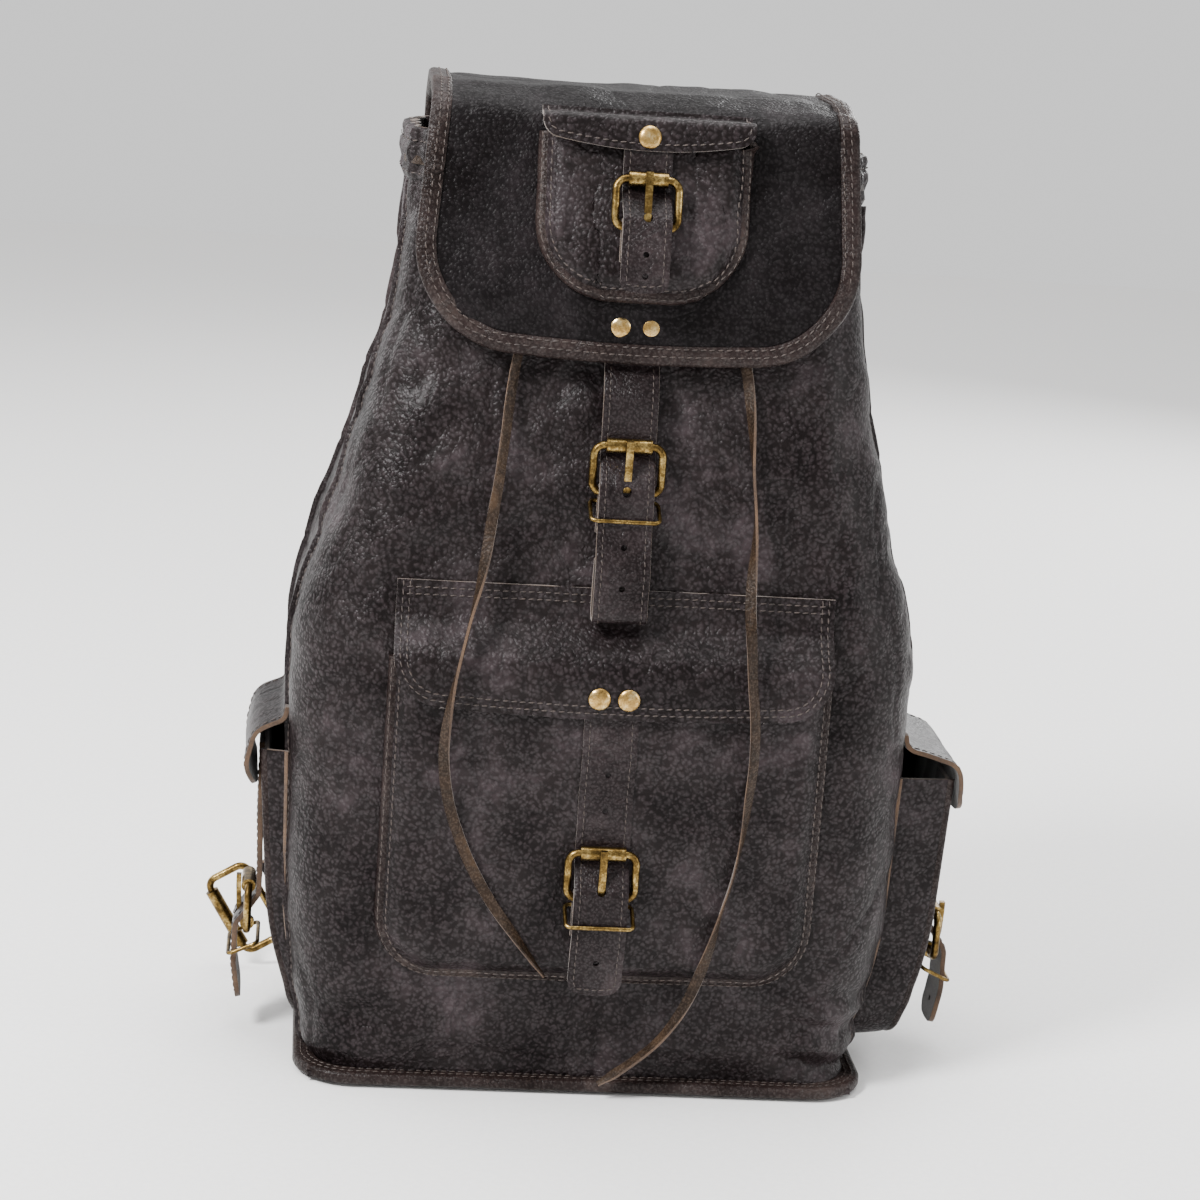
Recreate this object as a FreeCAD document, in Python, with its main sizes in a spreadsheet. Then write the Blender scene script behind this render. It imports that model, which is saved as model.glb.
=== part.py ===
"""Leather rucksack: flap, drawstring mouth, four patch pockets and buckled straps.

X is to the right, Y to the back and Z up, in millimetres. The origin is the centre of the base's
underside. Every leather strip is a side view (Y, Z) padded across and cut to its front view (X, Z).
"""
import FreeCAD, Part
import math
import os

V = FreeCAD.Vector
doc = FreeCAD.newDocument("rucksack")
os.makedirs("parts", exist_ok=True)

# ---------------------------------------------------------------- driving dimensions
LEVELS = ("foot", "low", "mid", "high", "waist", "neck", "mouth")
LEVEL_SIZES = ("height", "width", "front", "back", "corner")
BODY = {
    "foot": (4, 234, 65, 65, 24), "low": (60, 262, 70, 68, 32), "mid": (150, 268, 72, 68, 36),
    "high": (205, 268, 70, 66, 36), "waist": (275, 224, 62, 60, 30), "neck": (335, 196, 52, 50, 26),
    "mouth": (408, 188, 34, 36, 20),
}
DIMENSIONS = {
    "body_leather": 2.2, "flap_leather": 2.5, "strap_leather": 2.2, "chape_leather": 2.0,
    "pocket_leather": 2.0, "trim_leather": 1.2, "trim_width": 7.5,
    "rim_width": 252, "rim_depth": 150, "rim_corner": 26, "rim_band": 9, "rim_height": 6,
    "base_leather": 4, "hem_height": 22, "hem_thickness": 4.5, "lace_channel": 2.0,
    "lace_size": 4.8,
    "flap_top_width": 174, "flap_width": 184, "flap_bottom_width": 178, "flap_drop": 88,
    "flap_rise": 21, "flap_corner": 36, "flap_face_height": 77, "flap_face_lean": 17,
    "flap_pocket_width": 84, "flap_pocket_depth": 8.6, "flap_pocket_low": 2,
    "small_flap_width": 84, "small_flap_height": 17.5, "small_strap_width": 20,
    "front_pocket_width": 184, "front_pocket_bottom": 54, "front_pocket_top": 192,
    "front_pocket_depth": 10.2, "front_pocket_corner": 25,
    "front_flap_width": 186, "front_flap_top": 224, "front_flap_seam": 209,
    "front_flap_hinge": 202.5, "front_flap_shoulder": 196, "front_flap_bottom": 172,
    "side_pocket_width": 68, "side_pocket_bottom": 12, "side_pocket_top": 138,
    "left_pocket_depth": 10, "right_pocket_depth": 24, "side_flap_width": 72, "side_flap_hinge": 153,
    "side_flap_bottom": 122,
    "strap_width": 23, "shoulder_width": 34, "shoulder_leather": 4,
    "buckle_height": 20, "buckle_rod": 3.4, "buckle_gap": 1.2, "roller_size": 6.2,
    "tongue_thickness": 2.2, "tongue_width": 3.0, "keeper_rod": 1.8, "pin_clearance": 0.05,
    "rivet_cap": 9.6, "rivet_post": 3.2, "rivet_pitch": 12.4, "blank": 700,
}
for _level, _values in BODY.items():
    for _name, _value in zip(LEVEL_SIZES, _values):
        DIMENSIONS[_level + "_" + _name] = _value

sheet = doc.addObject("Spreadsheet::Sheet", "sizes")
for _row, (_name, _value) in enumerate(DIMENSIONS.items(), start=1):
    sheet.set("A%d" % _row, _name)
    sheet.set("B%d" % _row, str(_value))
    sheet.setAlias("B%d" % _row, _name)
doc.recompute()


def size(name):
    """A driving dimension, read from the sheet."""
    return float(sheet.get(name))


def cell(formula):
    """A formula on the sheet's names, for setExpression: words become sheet references."""
    return " ".join("<<sizes>>." + word if word[0].isalpha() else word for word in formula.split())


# ---------------------------------------------------------------- plane geometry
def unit(a, b):
    length = math.hypot(b[0] - a[0], b[1] - a[1])
    return (b[0] - a[0]) / length, (b[1] - a[1]) / length


def offset(points, distance):
    """A line of (u, v, radius) corners moved sideways, positive to the right of its travel."""
    ways = [unit(a, b) for a, b in zip(points, points[1:])]
    moved = []
    for i, point in enumerate(points):
        radius = point[2] if len(point) > 2 else 0
        before = ways[max(i - 1, 0)]
        after = ways[min(i, len(ways) - 1)]
        normal = (before[1] + after[1], -before[0] - after[0])
        half = (normal[0] ** 2 + normal[1] ** 2) / 2
        turn = before[0] * after[1] - before[1] * after[0]
        grown = max(radius + math.copysign(distance, turn * distance), 0.05) if radius else 0
        moved.append((point[0] + normal[0] * distance / half, point[1] + normal[1] * distance / half, grown))
    return moved


def strip(points, near, far):
    """The closed outline between two sideways offsets of a line."""
    return offset(points, near) + offset(points, far)[::-1]


def fillet_tangent(a, corner, b):
    """How far a corner's arc starts from the corner, for its radius."""
    before = unit(a, corner)
    after = unit(corner, b)
    turn = math.acos(max(-1, min(1, before[0] * after[0] + before[1] * after[1])))
    return corner[2] * math.tan(turn / 2), before, after, turn


def closed_edges(points):
    """Lines and arcs of a closed outline whose (u, v, radius) corners may be rounded."""
    spans = []
    arcs = []
    count = len(points)
    for i, corner in enumerate(points):
        corner = corner if len(corner) > 2 else (corner[0], corner[1], 0)
        back, before, after, turn = fillet_tangent(points[i - 1], corner, points[(i + 1) % count])
        start = V(corner[0] - before[0] * back, corner[1] - before[1] * back, 0)
        end = V(corner[0] + after[0] * back, corner[1] + after[1] * back, 0)
        spans.append((start, end))
        if corner[2] and turn > 0.001:
            reach = corner[2] * (1 / math.cos(turn / 2) - 1)
            inward = V(after[0] - before[0], after[1] - before[1], 0).normalize()
            arcs.append(Part.Arc(start, V(corner[0], corner[1], 0) + inward * reach, end))
    lines = []
    for i, (start, end) in enumerate(spans):
        follow = spans[(i + 1) % count][0]
        if (follow - end).Length > 1e-6:
            lines.append(Part.LineSegment(end, follow))
    return lines + arcs


def circle(u, v, radius):
    return [Part.Circle(V(u, v, 0), V(0, 0, 1), radius)]


def box_outline(left, bottom, right, top, radius=0):
    return [(left, bottom, radius), (right, bottom, radius), (right, top, radius), (left, top, radius)]


def patch_outline(half, bottom, top, corner):
    """A pocket's front view: square at the top, round at the bottom."""
    return [(-half, bottom, corner), (half, bottom, corner), (half, top), (-half, top)]


# ---------------------------------------------------------------- document objects
def sketch(body, role, loops, name, place=None):
    plane = next(item for item in body.Origin.OriginFeatures if item.Role == role)
    drawn = body.newObject("Sketcher::SketchObject", name)
    drawn.AttachmentSupport = [(plane, "")]
    drawn.MapMode = "FlatFace"
    if place:
        drawn.AttachmentOffset = place
    for loop in loops:
        drawn.addGeometry(closed_edges(loop) if isinstance(loop[0], tuple) else loop, False)
    return drawn


def padded(label, role, loops, length):
    """A body with one sketch, padded both ways by a formula of the sheet."""
    body = doc.addObject("PartDesign::Body", label)
    pad = body.newObject("PartDesign::Pad", label + "_pad")
    pad.Profile = sketch(body, role, loops, label + "_sketch")
    pad.SideType = "Symmetric"
    pad.setExpression("Length", cell(length))
    body.Tip = pad
    return body


def combined(kind, label, *pieces):
    """A boolean of the pieces: Cut, Common or Fuse."""
    result = pieces[0]
    for number, piece in enumerate(pieces[1:], start=1):
        joined = doc.addObject("Part::" + kind, "%s_%s_%d" % (label, kind.lower(), number))
        joined.Base = result
        joined.Tool = piece
        result = joined
    return result


def layer(label, line, near, far, front_view, holes=()):
    """A sheet of leather between two offsets of its side line, cut to its front view."""
    side = padded(label + "_side", "YZ_Plane", [strip(line, near, far)], "blank")
    front = padded(label + "_front", "XZ_Plane", [front_view, *holes], "blank")
    return combined("Common", label, side, front)


def loft(label, sections):
    """A ruled solid through level outlines: (height, outline) pairs."""
    body = doc.addObject("PartDesign::Body", label)
    drawn = []
    for number, (height, outline) in enumerate(sections):
        place = FreeCAD.Placement(V(0, 0, height), FreeCAD.Rotation())
        drawn.append(sketch(body, "XY_Plane", [outline], "%s_level_%d" % (label, number), place))
    solid = body.newObject("PartDesign::AdditiveLoft", label + "_loft")
    solid.Profile = drawn[0]
    solid.Sections = drawn[1:]
    solid.Ruled = True
    body.Tip = solid
    return body


def wire_ring(label, role, loop, rod, start, place=None):
    """A round rod bent to a closed loop; start is where it crosses the middle plane."""
    body = doc.addObject("PartDesign::Body", label)
    path = sketch(body, role, [loop], label + "_path", place)
    section = sketch(body, "YZ_Plane", [circle(start[0], start[1], size(rod) / 2)], label + "_section")
    pipe = body.newObject("PartDesign::AdditivePipe", label + "_pipe")
    pipe.Profile = section
    pipe.Spine = (path, [])
    body.Tip = pipe
    return body


def grouped(label, pieces):
    group = doc.addObject("Part::Compound", label + "_group")
    group.Links = pieces
    return group


nodes = {}


def node(name, item, place=None):
    """Names a finished sub-part and puts it in its place."""
    item.Label = name
    if place:
        item.Placement = place
    nodes[name] = item
    return item


def at(x, y, z, turn=0, tilt=0):
    """A placement: tilt about X, then turn about Z, then the move."""
    rotation = FreeCAD.Rotation(V(0, 0, 1), turn) * FreeCAD.Rotation(V(1, 0, 0), tilt)
    return FreeCAD.Placement(V(x, y, z), rotation)


# ---------------------------------------------------------------- the bag's body
def level_of(height):
    """The two levels that a height lies between, and how far it is between them."""
    heights = [size(name + "_height") for name in LEVELS]
    place = next((i for i in range(1, len(heights) - 1) if height <= heights[i]), len(heights) - 1)
    share = (height - heights[place - 1]) / (heights[place] - heights[place - 1])
    return LEVELS[place - 1], LEVELS[place], share


def at_height(height, what):
    """A body size (width, front, back or corner) at any height."""
    lower, upper, share = level_of(height)
    return size(lower + "_" + what) * (1 - share) + size(upper + "_" + what) * share


def body_line(what, factor, lowest, highest):
    """The body's side line from the top down, between two heights."""
    inner = [size(n + "_height") for n in LEVELS if lowest < size(n + "_height") < highest]
    return [(at_height(height, what) * factor, height) for height in [highest, *inner[::-1], lowest]]


def body_outline(height, grow):
    half = at_height(height, "width") / 2 + grow
    front = -at_height(height, "front") - grow
    back = at_height(height, "back") + grow
    return box_outline(-half, front, half, back, at_height(height, "corner") + grow)


def body_solid(label, grow, bottom, top):
    """A solid of the body's form between two heights, grown all round."""
    inner = [size(n + "_height") for n in LEVELS if bottom < size(n + "_height") < top]
    return loft(label, [(height, body_outline(height, grow)) for height in [bottom, *inner, top]])


FOOT = size("foot_height")
MOUTH = size("mouth_height")
LEATHER = size("body_leather")
SEAM_LOW = 40           # how far the side seams stand from the middle at the foot and at the mouth
SEAM_HIGH = 17
outer = body_solid("outer_form", 0, FOOT, MOUTH)
inner = body_solid("inner_form", -LEATHER, FOOT, MOUTH)
shell = combined("Cut", "shell", outer, inner)
gusset_wedge = [(-SEAM_LOW, FOOT - 1), (SEAM_LOW, FOOT - 1), (SEAM_HIGH, MOUTH + 1), (-SEAM_HIGH, MOUTH + 1)]
front_wedge = [(-200, FOOT - 1), (-SEAM_LOW, FOOT - 1), (-SEAM_HIGH, MOUTH + 1), (-200, MOUTH + 1)]
back_wedge = [(-u, v) for u, v in front_wedge[::-1]]
for name, wedge in (("front_panel", front_wedge), ("back_panel", back_wedge)):
    node(name, combined("Common", name, shell, padded(name + "_wedge", "YZ_Plane", [wedge], "blank")))
gussets = combined("Common", "gussets", shell, padded("gusset_wedge", "YZ_Plane", [gusset_wedge], "blank"))
for name, side in (("gusset_left", -1), ("gusset_right", 1)):
    half = padded(name + "_half", "XZ_Plane",
                  [box_outline(min(0, side * 300), 0, max(0, side * 300), MOUTH + 10)], "blank")
    node(name, combined("Common", name, gussets, half))


def slab(label, half_x, half_y, corner, bottom, top):
    outline = box_outline(-half_x, -half_y, half_x, half_y, corner)
    return loft(label, [(bottom, outline), (top, outline)])


RIM_X = size("rim_width") / 2
RIM_Y = size("rim_depth") / 2
BAND = size("rim_band")
TRIM = size("trim_leather")
base_panel = slab("base_form", RIM_X - TRIM, RIM_Y - TRIM, size("rim_corner") - TRIM, TRIM, FOOT)
rim_solid = slab("rim_form", RIM_X, RIM_Y, size("rim_corner"), 0, size("rim_height"))
rim_hole = slab("rim_hole", RIM_X - BAND, RIM_Y - BAND, size("rim_corner") - BAND, -1, size("rim_height") + 1)
node("base_panel", base_panel)
foot_room = body_solid("foot_room", 0.1, FOOT, size("rim_height") + 2)
node("base_binding", combined("Cut", "base_binding", rim_solid, rim_hole, base_panel, foot_room))

# The hem folds outwards over the mouth, with the drawstring in its channel.
HEM_LOW = MOUTH - size("hem_height")
HEM = size("hem_thickness")
CHANNEL_LOW = HEM_LOW + 7
CHANNEL_HIGH = CHANNEL_LOW + 6
CHANNEL = size("lace_channel")
hem_solid = body_solid("hem_form", HEM, HEM_LOW, MOUTH)
channel_out = body_solid("channel_out", TRIM + CHANNEL, CHANNEL_LOW, CHANNEL_HIGH)
channel_in = body_solid("channel_in", TRIM, CHANNEL_LOW - 1, CHANNEL_HIGH + 1)
drawstring = node("drawstring", combined("Cut", "drawstring", channel_out, channel_in))
node("mouth_hem", combined("Cut", "mouth_hem", hem_solid, outer, drawstring))


# ---------------------------------------------------------------- laces
def cord(name, points):
    """A lace along straight runs with an arc at each point, as large as its two runs allow."""
    points = [V(*point) for point in points]
    cuts = []
    radii = []
    for before, corner, after in zip(points, points[1:], points[2:]):
        first = corner - before
        second = after - corner
        turn = first.getAngle(second)
        radius = 0.45 * min(first.Length, second.Length) / math.tan(turn / 2)
        back = radius * math.tan(turn / 2)
        start = corner - first.normalize() * back
        end = corner + second.normalize() * back
        inward = (second - first).normalize()
        middle = corner + inward * radius * (1 / math.cos(turn / 2) - 1)
        cuts.append((start, middle, end))
        radii.append(round(radius, 1))
    edges = []
    last = points[0]
    for start, middle, end in cuts:
        edges.append(Part.LineSegment(last, start).toShape())
        edges.append(Part.Arc(start, middle, end).toShape())
        last = end
    edges.append(Part.LineSegment(last, points[-1]).toShape())
    path = Part.Wire(edges)
    section = Part.Circle(points[0], points[1] - points[0], size("lace_size") / 2).toShape()
    tube = path.makePipeShell([Part.Wire(section)], True, False)
    area = math.pi * (size("lace_size") / 2) ** 2
    print(name, "length", round(path.Length, 1), "radii", radii, "volume ratio",
          round(tube.Volume / (area * path.Length), 4))
    item = doc.addObject("Part::Feature", name)
    item.Shape = tube
    return node(name, item)


LACE_Y = -(at_height(HEM_LOW, "front") + 0.6 + size("lace_size") / 2)
LACE_TOP = HEM_LOW - 0.6
LACE_LEFT = [
    (-20, LACE_Y, LACE_TOP), (-22, -46.6, 370), (-34, -52, 348), (-46, -56.7, 326), (-49, -58.3, 313),
    (-51, -66.5, 290), (-54, -74, 256), (-59, -82, 226), (-65, -92, 199), (-69.5, -94, 172),
    (-70, -90, 148), (-64, -87, 124), (-53, -86, 101), (-38, -85, 78), (-21, -84, 57)]
LACE_RIGHT = [
    (20, LACE_Y, LACE_TOP), (23, -46.6, 370), (33, -52, 348), (46, -56.7, 326), (50, -58.3, 313),
    (52, -66.5, 291), (56, -74, 256), (54, -82, 226), (56, -92, 199), (60, -94, 170), (60, -90, 142),
    (58, -87, 113), (52, -86, 86), (46, -85, 60), (37, -82, 37), (24, -80, 20), (6, -79, 7)]


# ---------------------------------------------------------------- patch pockets
def patch_pocket(name, line, depth, wall, half, bottom, top, corner, place=None, bound=True):
    """A patch pocket, open at the top, and the strip that binds its edge."""
    view = patch_outline(half, bottom, top, corner)
    block = layer(name + "_block", line, 0, depth, view)
    inside = patch_outline(half - wall, bottom + wall, top + 20, corner - wall)
    hollow = layer(name + "_hollow", line, -1, depth - wall, inside)
    pocket = combined("Cut", name, block, hollow)
    if bound:
        trim = size("trim_leather")
        width = size("trim_width")
        ring = patch_outline(half + trim, bottom - trim, top, corner + trim)
        window = patch_outline(half - width, bottom + width, top + 20, corner - width)
        band = layer(name + "_band", line, 0, depth + trim, ring)
        opening = padded(name + "_opening", "XZ_Plane", [window], "blank")
        node(name + "_binding", combined("Cut", name + "_binding", band, opening, block), place)
    return node(name, pocket, place)


FRONT_LINE = body_line("front", -1, 30, 230)
patch_pocket("front_pocket", FRONT_LINE, size("front_pocket_depth"), size("pocket_leather"),
             size("front_pocket_width") / 2, size("front_pocket_bottom"), size("front_pocket_top"),
             size("front_pocket_corner"))


# ---------------------------------------------------------------- buckles
# A buckle's own frame: the heel bar lies along X through the origin, the top bar is above it,
# and the bag is behind it at STAND_OFF.
ROD = size("buckle_rod")
TALL = size("buckle_height")
STRAP = size("strap_leather")
CHAPE = size("chape_leather")
CHAPE_LINE = ROD / 2 + 0.15 + CHAPE / 2
STRAP_FRONT = -(CHAPE_LINE + CHAPE / 2 + 0.35 + STRAP / 2)
STRAP_BEHIND = size("roller_size") / 2 + 0.4 + STRAP / 2
STAND_OFF = STRAP_BEHIND + STRAP / 2 + 1.2
SLOT = size("tongue_width") + 1.4
KEEPER_DROP = 7
KEEPER_TILT = 25
BUCKLE_CORNER = 4.5


def threaded(above, below):
    """A strap's side line: down behind the roller, out over the heel bar, and on down."""
    return [*above, (STRAP_BEHIND, TALL + 3, 8), (STRAP_BEHIND, TALL - 3, 5),
            (STRAP_FRONT, 3, 5), (STRAP_FRONT, -6, 8), *below]


def slot_view(half_width, bottom, top):
    return box_outline(-half_width, bottom, half_width, top, half_width * 0.9)


def strap(name, line, width, bottom, top, place, holes=()):
    """A strap in its buckle's frame, with a round end and the slot that its tongue rises through."""
    half = size(width) / 2
    view = [(-half, bottom, half * 0.75), (half, bottom, half * 0.75), (half, top), (-half, top)]
    thickness = STRAP / 2
    slot = slot_view(SLOT / 2, -2.5, 11.5)
    return node(name, layer(name, line, -thickness, thickness, view, [slot, *holes]), place)


def tongue(name, bore, place):
    """The tongue turns on the heel bar; at rest its tip lies over the roller."""
    width = "tongue_width"
    thickness = size("tongue_thickness")
    eye = padded(name + "_eye", "YZ_Plane", [circle(0, 0, ROD / 2 + 1.5)], width)
    lift = size("roller_size") / 2 + thickness / 2 + 0.25
    line = [(-ROD / 2 - 0.8, 0.6), (-4.0, 9, 14), (-lift, TALL - 2, 14), (-lift, TALL + 2.6)]
    blade = padded(name + "_blade", "YZ_Plane", [strip(line, -thickness / 2, thickness / 2)], width)
    hole = padded(name + "_bore", "YZ_Plane", [circle(0, 0, bore)], width + " + 2")
    whole = combined("Fuse", name + "_tongue", eye, blade)
    node(name + "_tongue", combined("Cut", name + "_tongue", whole, hole), place)


def buckle(name, width, place, keeper=True, chape_length=18, tongued=True):
    """The frame with its keeper, the roller, the tongue and the chape of one buckle."""
    half = size(width) / 2 + size("buckle_gap") + ROD / 2
    outline = box_outline(-half, 0, half, TALL, BUCKLE_CORNER)
    frame = wire_ring(name + "_ring", "XZ_Plane", outline, "buckle_rod", (0, TALL))
    pieces = [frame]
    if keeper:
        tilt = FreeCAD.Rotation(V(1, 0, 0), KEEPER_TILT)
        drop = FreeCAD.Placement(V(0, 0, -KEEPER_DROP), tilt)
        front = STRAP_FRONT - STRAP / 2 - size("keeper_rod") / 2 - 1.2
        back = CHAPE_LINE + CHAPE / 2 + size("keeper_rod") / 2 + 0.9
        start = drop.multVec(V(0, front, 0))
        loop = box_outline(-half, front, half, back, 2.5)
        pieces.append(wire_ring(name + "_keeper", "XY_Plane", loop, "keeper_rod", (start.y, start.z), drop))
    node(name + "_buckle", grouped(name + "_buckle", pieces), place)
    inner = size("buckle_rod") / 2 + size("pin_clearance")
    rings = [circle(0, TALL, size("roller_size") / 2), circle(0, TALL, inner)]
    node(name + "_roller", padded(name + "_roller", "YZ_Plane", rings, width + " - 4"), place)
    if tongued:
        tongue(name, inner, place)
    if chape_length:
        bend = CHAPE_LINE - 0.01
        line = [(CHAPE_LINE, -chape_length), (CHAPE_LINE, CHAPE_LINE, bend),
                (-CHAPE_LINE, CHAPE_LINE, bend), (-CHAPE_LINE, -chape_length + 2)]
        half_strap = size(width) / 2
        view = box_outline(-half_strap, -chape_length - 5, half_strap, 10)
        slot = slot_view(SLOT / 2, -5, 7)
        chape = layer(name + "_chape", line, -CHAPE / 2, CHAPE / 2, view, [slot])
        node(name + "_chape", chape, place)


def rivets(name, positions, grip, place=None):
    """Domed caps with their posts; a cap lies on the face at y = 0 and its post goes back."""
    cap = size("rivet_cap") / 2
    post = size("rivet_post") / 2
    made = []
    for number, (x, z) in enumerate(positions):
        body = doc.addObject("PartDesign::Body", "%s_%d" % (name, number))
        view = [(-2.0, 0), (grip, 0), (grip, post), (0, post), (0, cap), (-0.7, cap), (-1.6, cap * 0.62)]
        turned = body.newObject("PartDesign::Revolution", "%s_turned_%d" % (name, number))
        turned.Profile = sketch(body, "YZ_Plane", [view], "%s_half_%d" % (name, number))
        turned.ReferenceAxis = (turned.Profile[0], ["H_Axis"])
        turned.Angle = 360
        body.Tip = turned
        body.Placement = FreeCAD.Placement(V(x, 0, z), FreeCAD.Rotation())
        made.append(body)
    item = grouped(name, made) if len(made) > 1 else combined("Fuse", name, *made)
    return node(name, item, place)


def rivet_holes(positions, drop=0):
    """Holes for the rivets' posts; drop moves them into a frame whose origin is that high."""
    return [circle(x, z - drop, size("rivet_post") / 2 + size("pin_clearance")) for x, z in positions]


# ---------------------------------------------------------------- front pocket's flap
FLAP = size("flap_leather")
HINGE = size("front_flap_hinge")
GAP = 0.3
front_half = size("front_flap_width") / 2
pocket_face = -(at_height(size("front_flap_bottom"), "front") + size("front_pocket_depth"))
front_strap_y = pocket_face - 0.5 - STRAP / 2
front_flap_y = front_strap_y - STRAP / 2 - GAP - FLAP / 2
seam_top = size("front_flap_top")
seam_low = size("front_flap_seam")
front_line = [(-at_height(seam_top, "front") - FLAP / 2 - 0.1, seam_top + 2),
              (-at_height(seam_low, "front") - FLAP / 2 - 0.1, seam_low, 3),
              (front_flap_y, size("front_flap_shoulder"), 7), (front_flap_y, size("front_flap_bottom") - 10)]
node("front_flap_band", layer("front_flap_band", front_line, -FLAP / 2, FLAP / 2,
                              box_outline(-front_half, HINGE + GAP / 2, front_half, seam_top)))
bottom = size("front_flap_bottom")
front_view = [(-front_half, HINGE - GAP / 2), (-front_half, bottom + 4, 12), (0, bottom, 120),
              (front_half, bottom + 4, 12), (front_half, HINGE - GAP / 2)]
pitch = size("rivet_pitch") / 2
front_rivets = [(-pitch, bottom + 9), (pitch, bottom + 9)]
node("front_flap", layer("front_flap", front_line, -FLAP / 2, FLAP / 2, front_view,
                         rivet_holes(front_rivets)))
rivets("front_rivets", front_rivets, FLAP + GAP + STRAP, at(0, front_flap_y - FLAP / 2, 0))
FRONT_HEEL = 94
front_buckle_y = -(at_height(FRONT_HEEL, "front") + size("front_pocket_depth") + STAND_OFF)
front_place = at(0, front_buckle_y, FRONT_HEEL)
buckle("front", "strap_width", front_place)
strap_top = front_strap_y - front_buckle_y
strap_line = threaded([(strap_top, 98), (strap_top, 78, 20), (strap_top - 0.9, 60, 20)],
                      [(STRAP_FRONT, -16, 20), (STRAP_FRONT + 5, -43)])
strap("front_strap", strap_line, "strap_width", -41, 96, front_place, rivet_holes(front_rivets, FRONT_HEEL))

# ---------------------------------------------------------------- main flap
RISE = size("flap_rise")
FACE_TOP = MOUTH + 14
FACE_LOW = FACE_TOP - size("flap_face_height")
FACE_Y = -(at_height(FACE_LOW, "front") + 12.8)
LEAN = size("flap_face_lean")
FLAP_TOP = MOUTH + RISE
FLAP_LOW = MOUTH - size("flap_drop")
HINGE_Y = size("mouth_back") + HEM + 3
HINGE_Z = MOUTH - 4
flap_line = [(HINGE_Y, HINGE_Z + GAP), (HINGE_Y, MOUTH + 8, 8), (HINGE_Y - 20, FLAP_TOP - FLAP / 2, 18),
             (FACE_Y + LEAN + 24, FLAP_TOP - FLAP / 2, 18), (FACE_Y + LEAN, FACE_TOP, 12),
             (FACE_Y, FACE_LOW, 30), (FACE_Y, FLAP_LOW - 10)]
top_half = size("flap_top_width") / 2
wide_half = size("flap_width") / 2
low_half = size("flap_bottom_width") / 2


def flap_view(inset, above=5):
    """The flap's front outline, moved in; its upper end stands above the flap."""
    corner = size("flap_corner") - inset
    low = FLAP_LOW + inset
    widest = FLAP_LOW + 46
    upper = top_half + (wide_half - top_half) / (FLAP_TOP - widest) * -above
    return [(-upper + inset, FLAP_TOP + above), (-wide_half + inset, widest, 60),
            (-low_half + inset, low + 5, corner), (0, low, 200), (low_half - inset, low + 5, corner),
            (wide_half - inset, widest, 60), (upper - inset, FLAP_TOP + above)]


main_rivets = [(-pitch, FLAP_LOW + 14), (pitch, FLAP_LOW + 14)]
main_flap = layer("main_flap", flap_line, -FLAP / 2, FLAP / 2, flap_view(TRIM), rivet_holes(main_rivets))
node("main_flap", main_flap)
window = flap_view(size("trim_width"), 2)
node("main_flap_binding", combined(
    "Fuse", "main_flap_binding",
    layer("edge_front", flap_line, FLAP / 2, FLAP / 2 + TRIM, flap_view(0), [window]),
    layer("edge_rim", flap_line, -FLAP / 2, FLAP / 2, flap_view(0), [flap_view(TRIM, 2)]),
    layer("edge_back", flap_line, -FLAP / 2 - TRIM, -FLAP / 2, flap_view(0), [window])))
BAND_LOW = 372
band_line = [(HINGE_Y, HINGE_Z), (at_height(HEM_LOW, "back") + HEM + FLAP / 2 + 0.6, HEM_LOW - 1, 6),
             (at_height(BAND_LOW, "back") + FLAP / 2 + 0.2, BAND_LOW)]
node("main_flap_band", layer("main_flap_band", band_line, -FLAP / 2, FLAP / 2,
                             box_outline(-top_half, BAND_LOW, top_half, HINGE_Z)))
rivets("main_rivets", main_rivets, FLAP + GAP + STRAP, at(0, FACE_Y - FLAP / 2, 0))
MAIN_HEEL = 266
main_buckle_y = -(at_height(MAIN_HEEL, "front") + STAND_OFF + 1.5)
main_place = at(0, main_buckle_y, MAIN_HEEL)
buckle("main", "strap_width", main_place)
under_flap = FACE_Y + FLAP / 2 + GAP + STRAP / 2 - main_buckle_y
flap_edge = FLAP_LOW - MAIN_HEEL
fold = 4.2
hang = STRAP_FRONT - 5.5
main_strap_line = threaded(
    [(under_flap, flap_edge + 22), (under_flap, flap_edge + 11, 4), (under_flap + 1.3, flap_edge + 7, 4),
     (under_flap + 1.3, flap_edge - 2, 8), (STRAP_BEHIND, TALL + 22, 10)],
    [(STRAP_FRONT, -14, 15), (hang, -32, 20), (hang, -53, fold - 0.01),
     (hang + 2 * fold, -53, fold - 0.01), (hang + 2 * fold, -26)])
strap("main_strap", main_strap_line, "strap_width", -60, flap_edge + 21, main_place,
      rivet_holes(main_rivets, MAIN_HEEL))

# The pocket on the flap is drawn in the plane of the flap's sloping face.
face_length = math.hypot(LEAN, size("flap_face_height"))
face_place = at(0, FACE_Y, FACE_LOW, tilt=-math.degrees(math.atan2(LEAN, size("flap_face_height"))))
face_line = [(-FLAP / 2, face_length + 30), (-FLAP / 2, -30)]
seam = face_length - 1
pocket_low = size("flap_pocket_low")
pocket_high = seam - 10
patch_pocket("flap_pocket", face_line, size("flap_pocket_depth"), 1.8, size("flap_pocket_width") / 2,
             pocket_low, pocket_high, 30, face_place)
small_face = -(FLAP / 2 + size("flap_pocket_depth"))
small_strap_y = small_face - TRIM - 0.3 - STRAP / 2
small_flap_y = small_strap_y - STRAP / 2 - GAP - 1
small_line = [(-FLAP / 2 - 1.3, seam), (-FLAP / 2 - 1.3, seam - 2.6, 2), (small_flap_y, seam - 4.6, 2.2),
              (small_flap_y, seam - 40)]
small_half = size("small_flap_width") / 2
small_low = seam - size("small_flap_height")
small_view = [(-small_half, seam + 5), (-small_half, small_low + 5, 5), (0, small_low, 110),
              (small_half, small_low + 5, 5), (small_half, seam + 5)]
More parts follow.
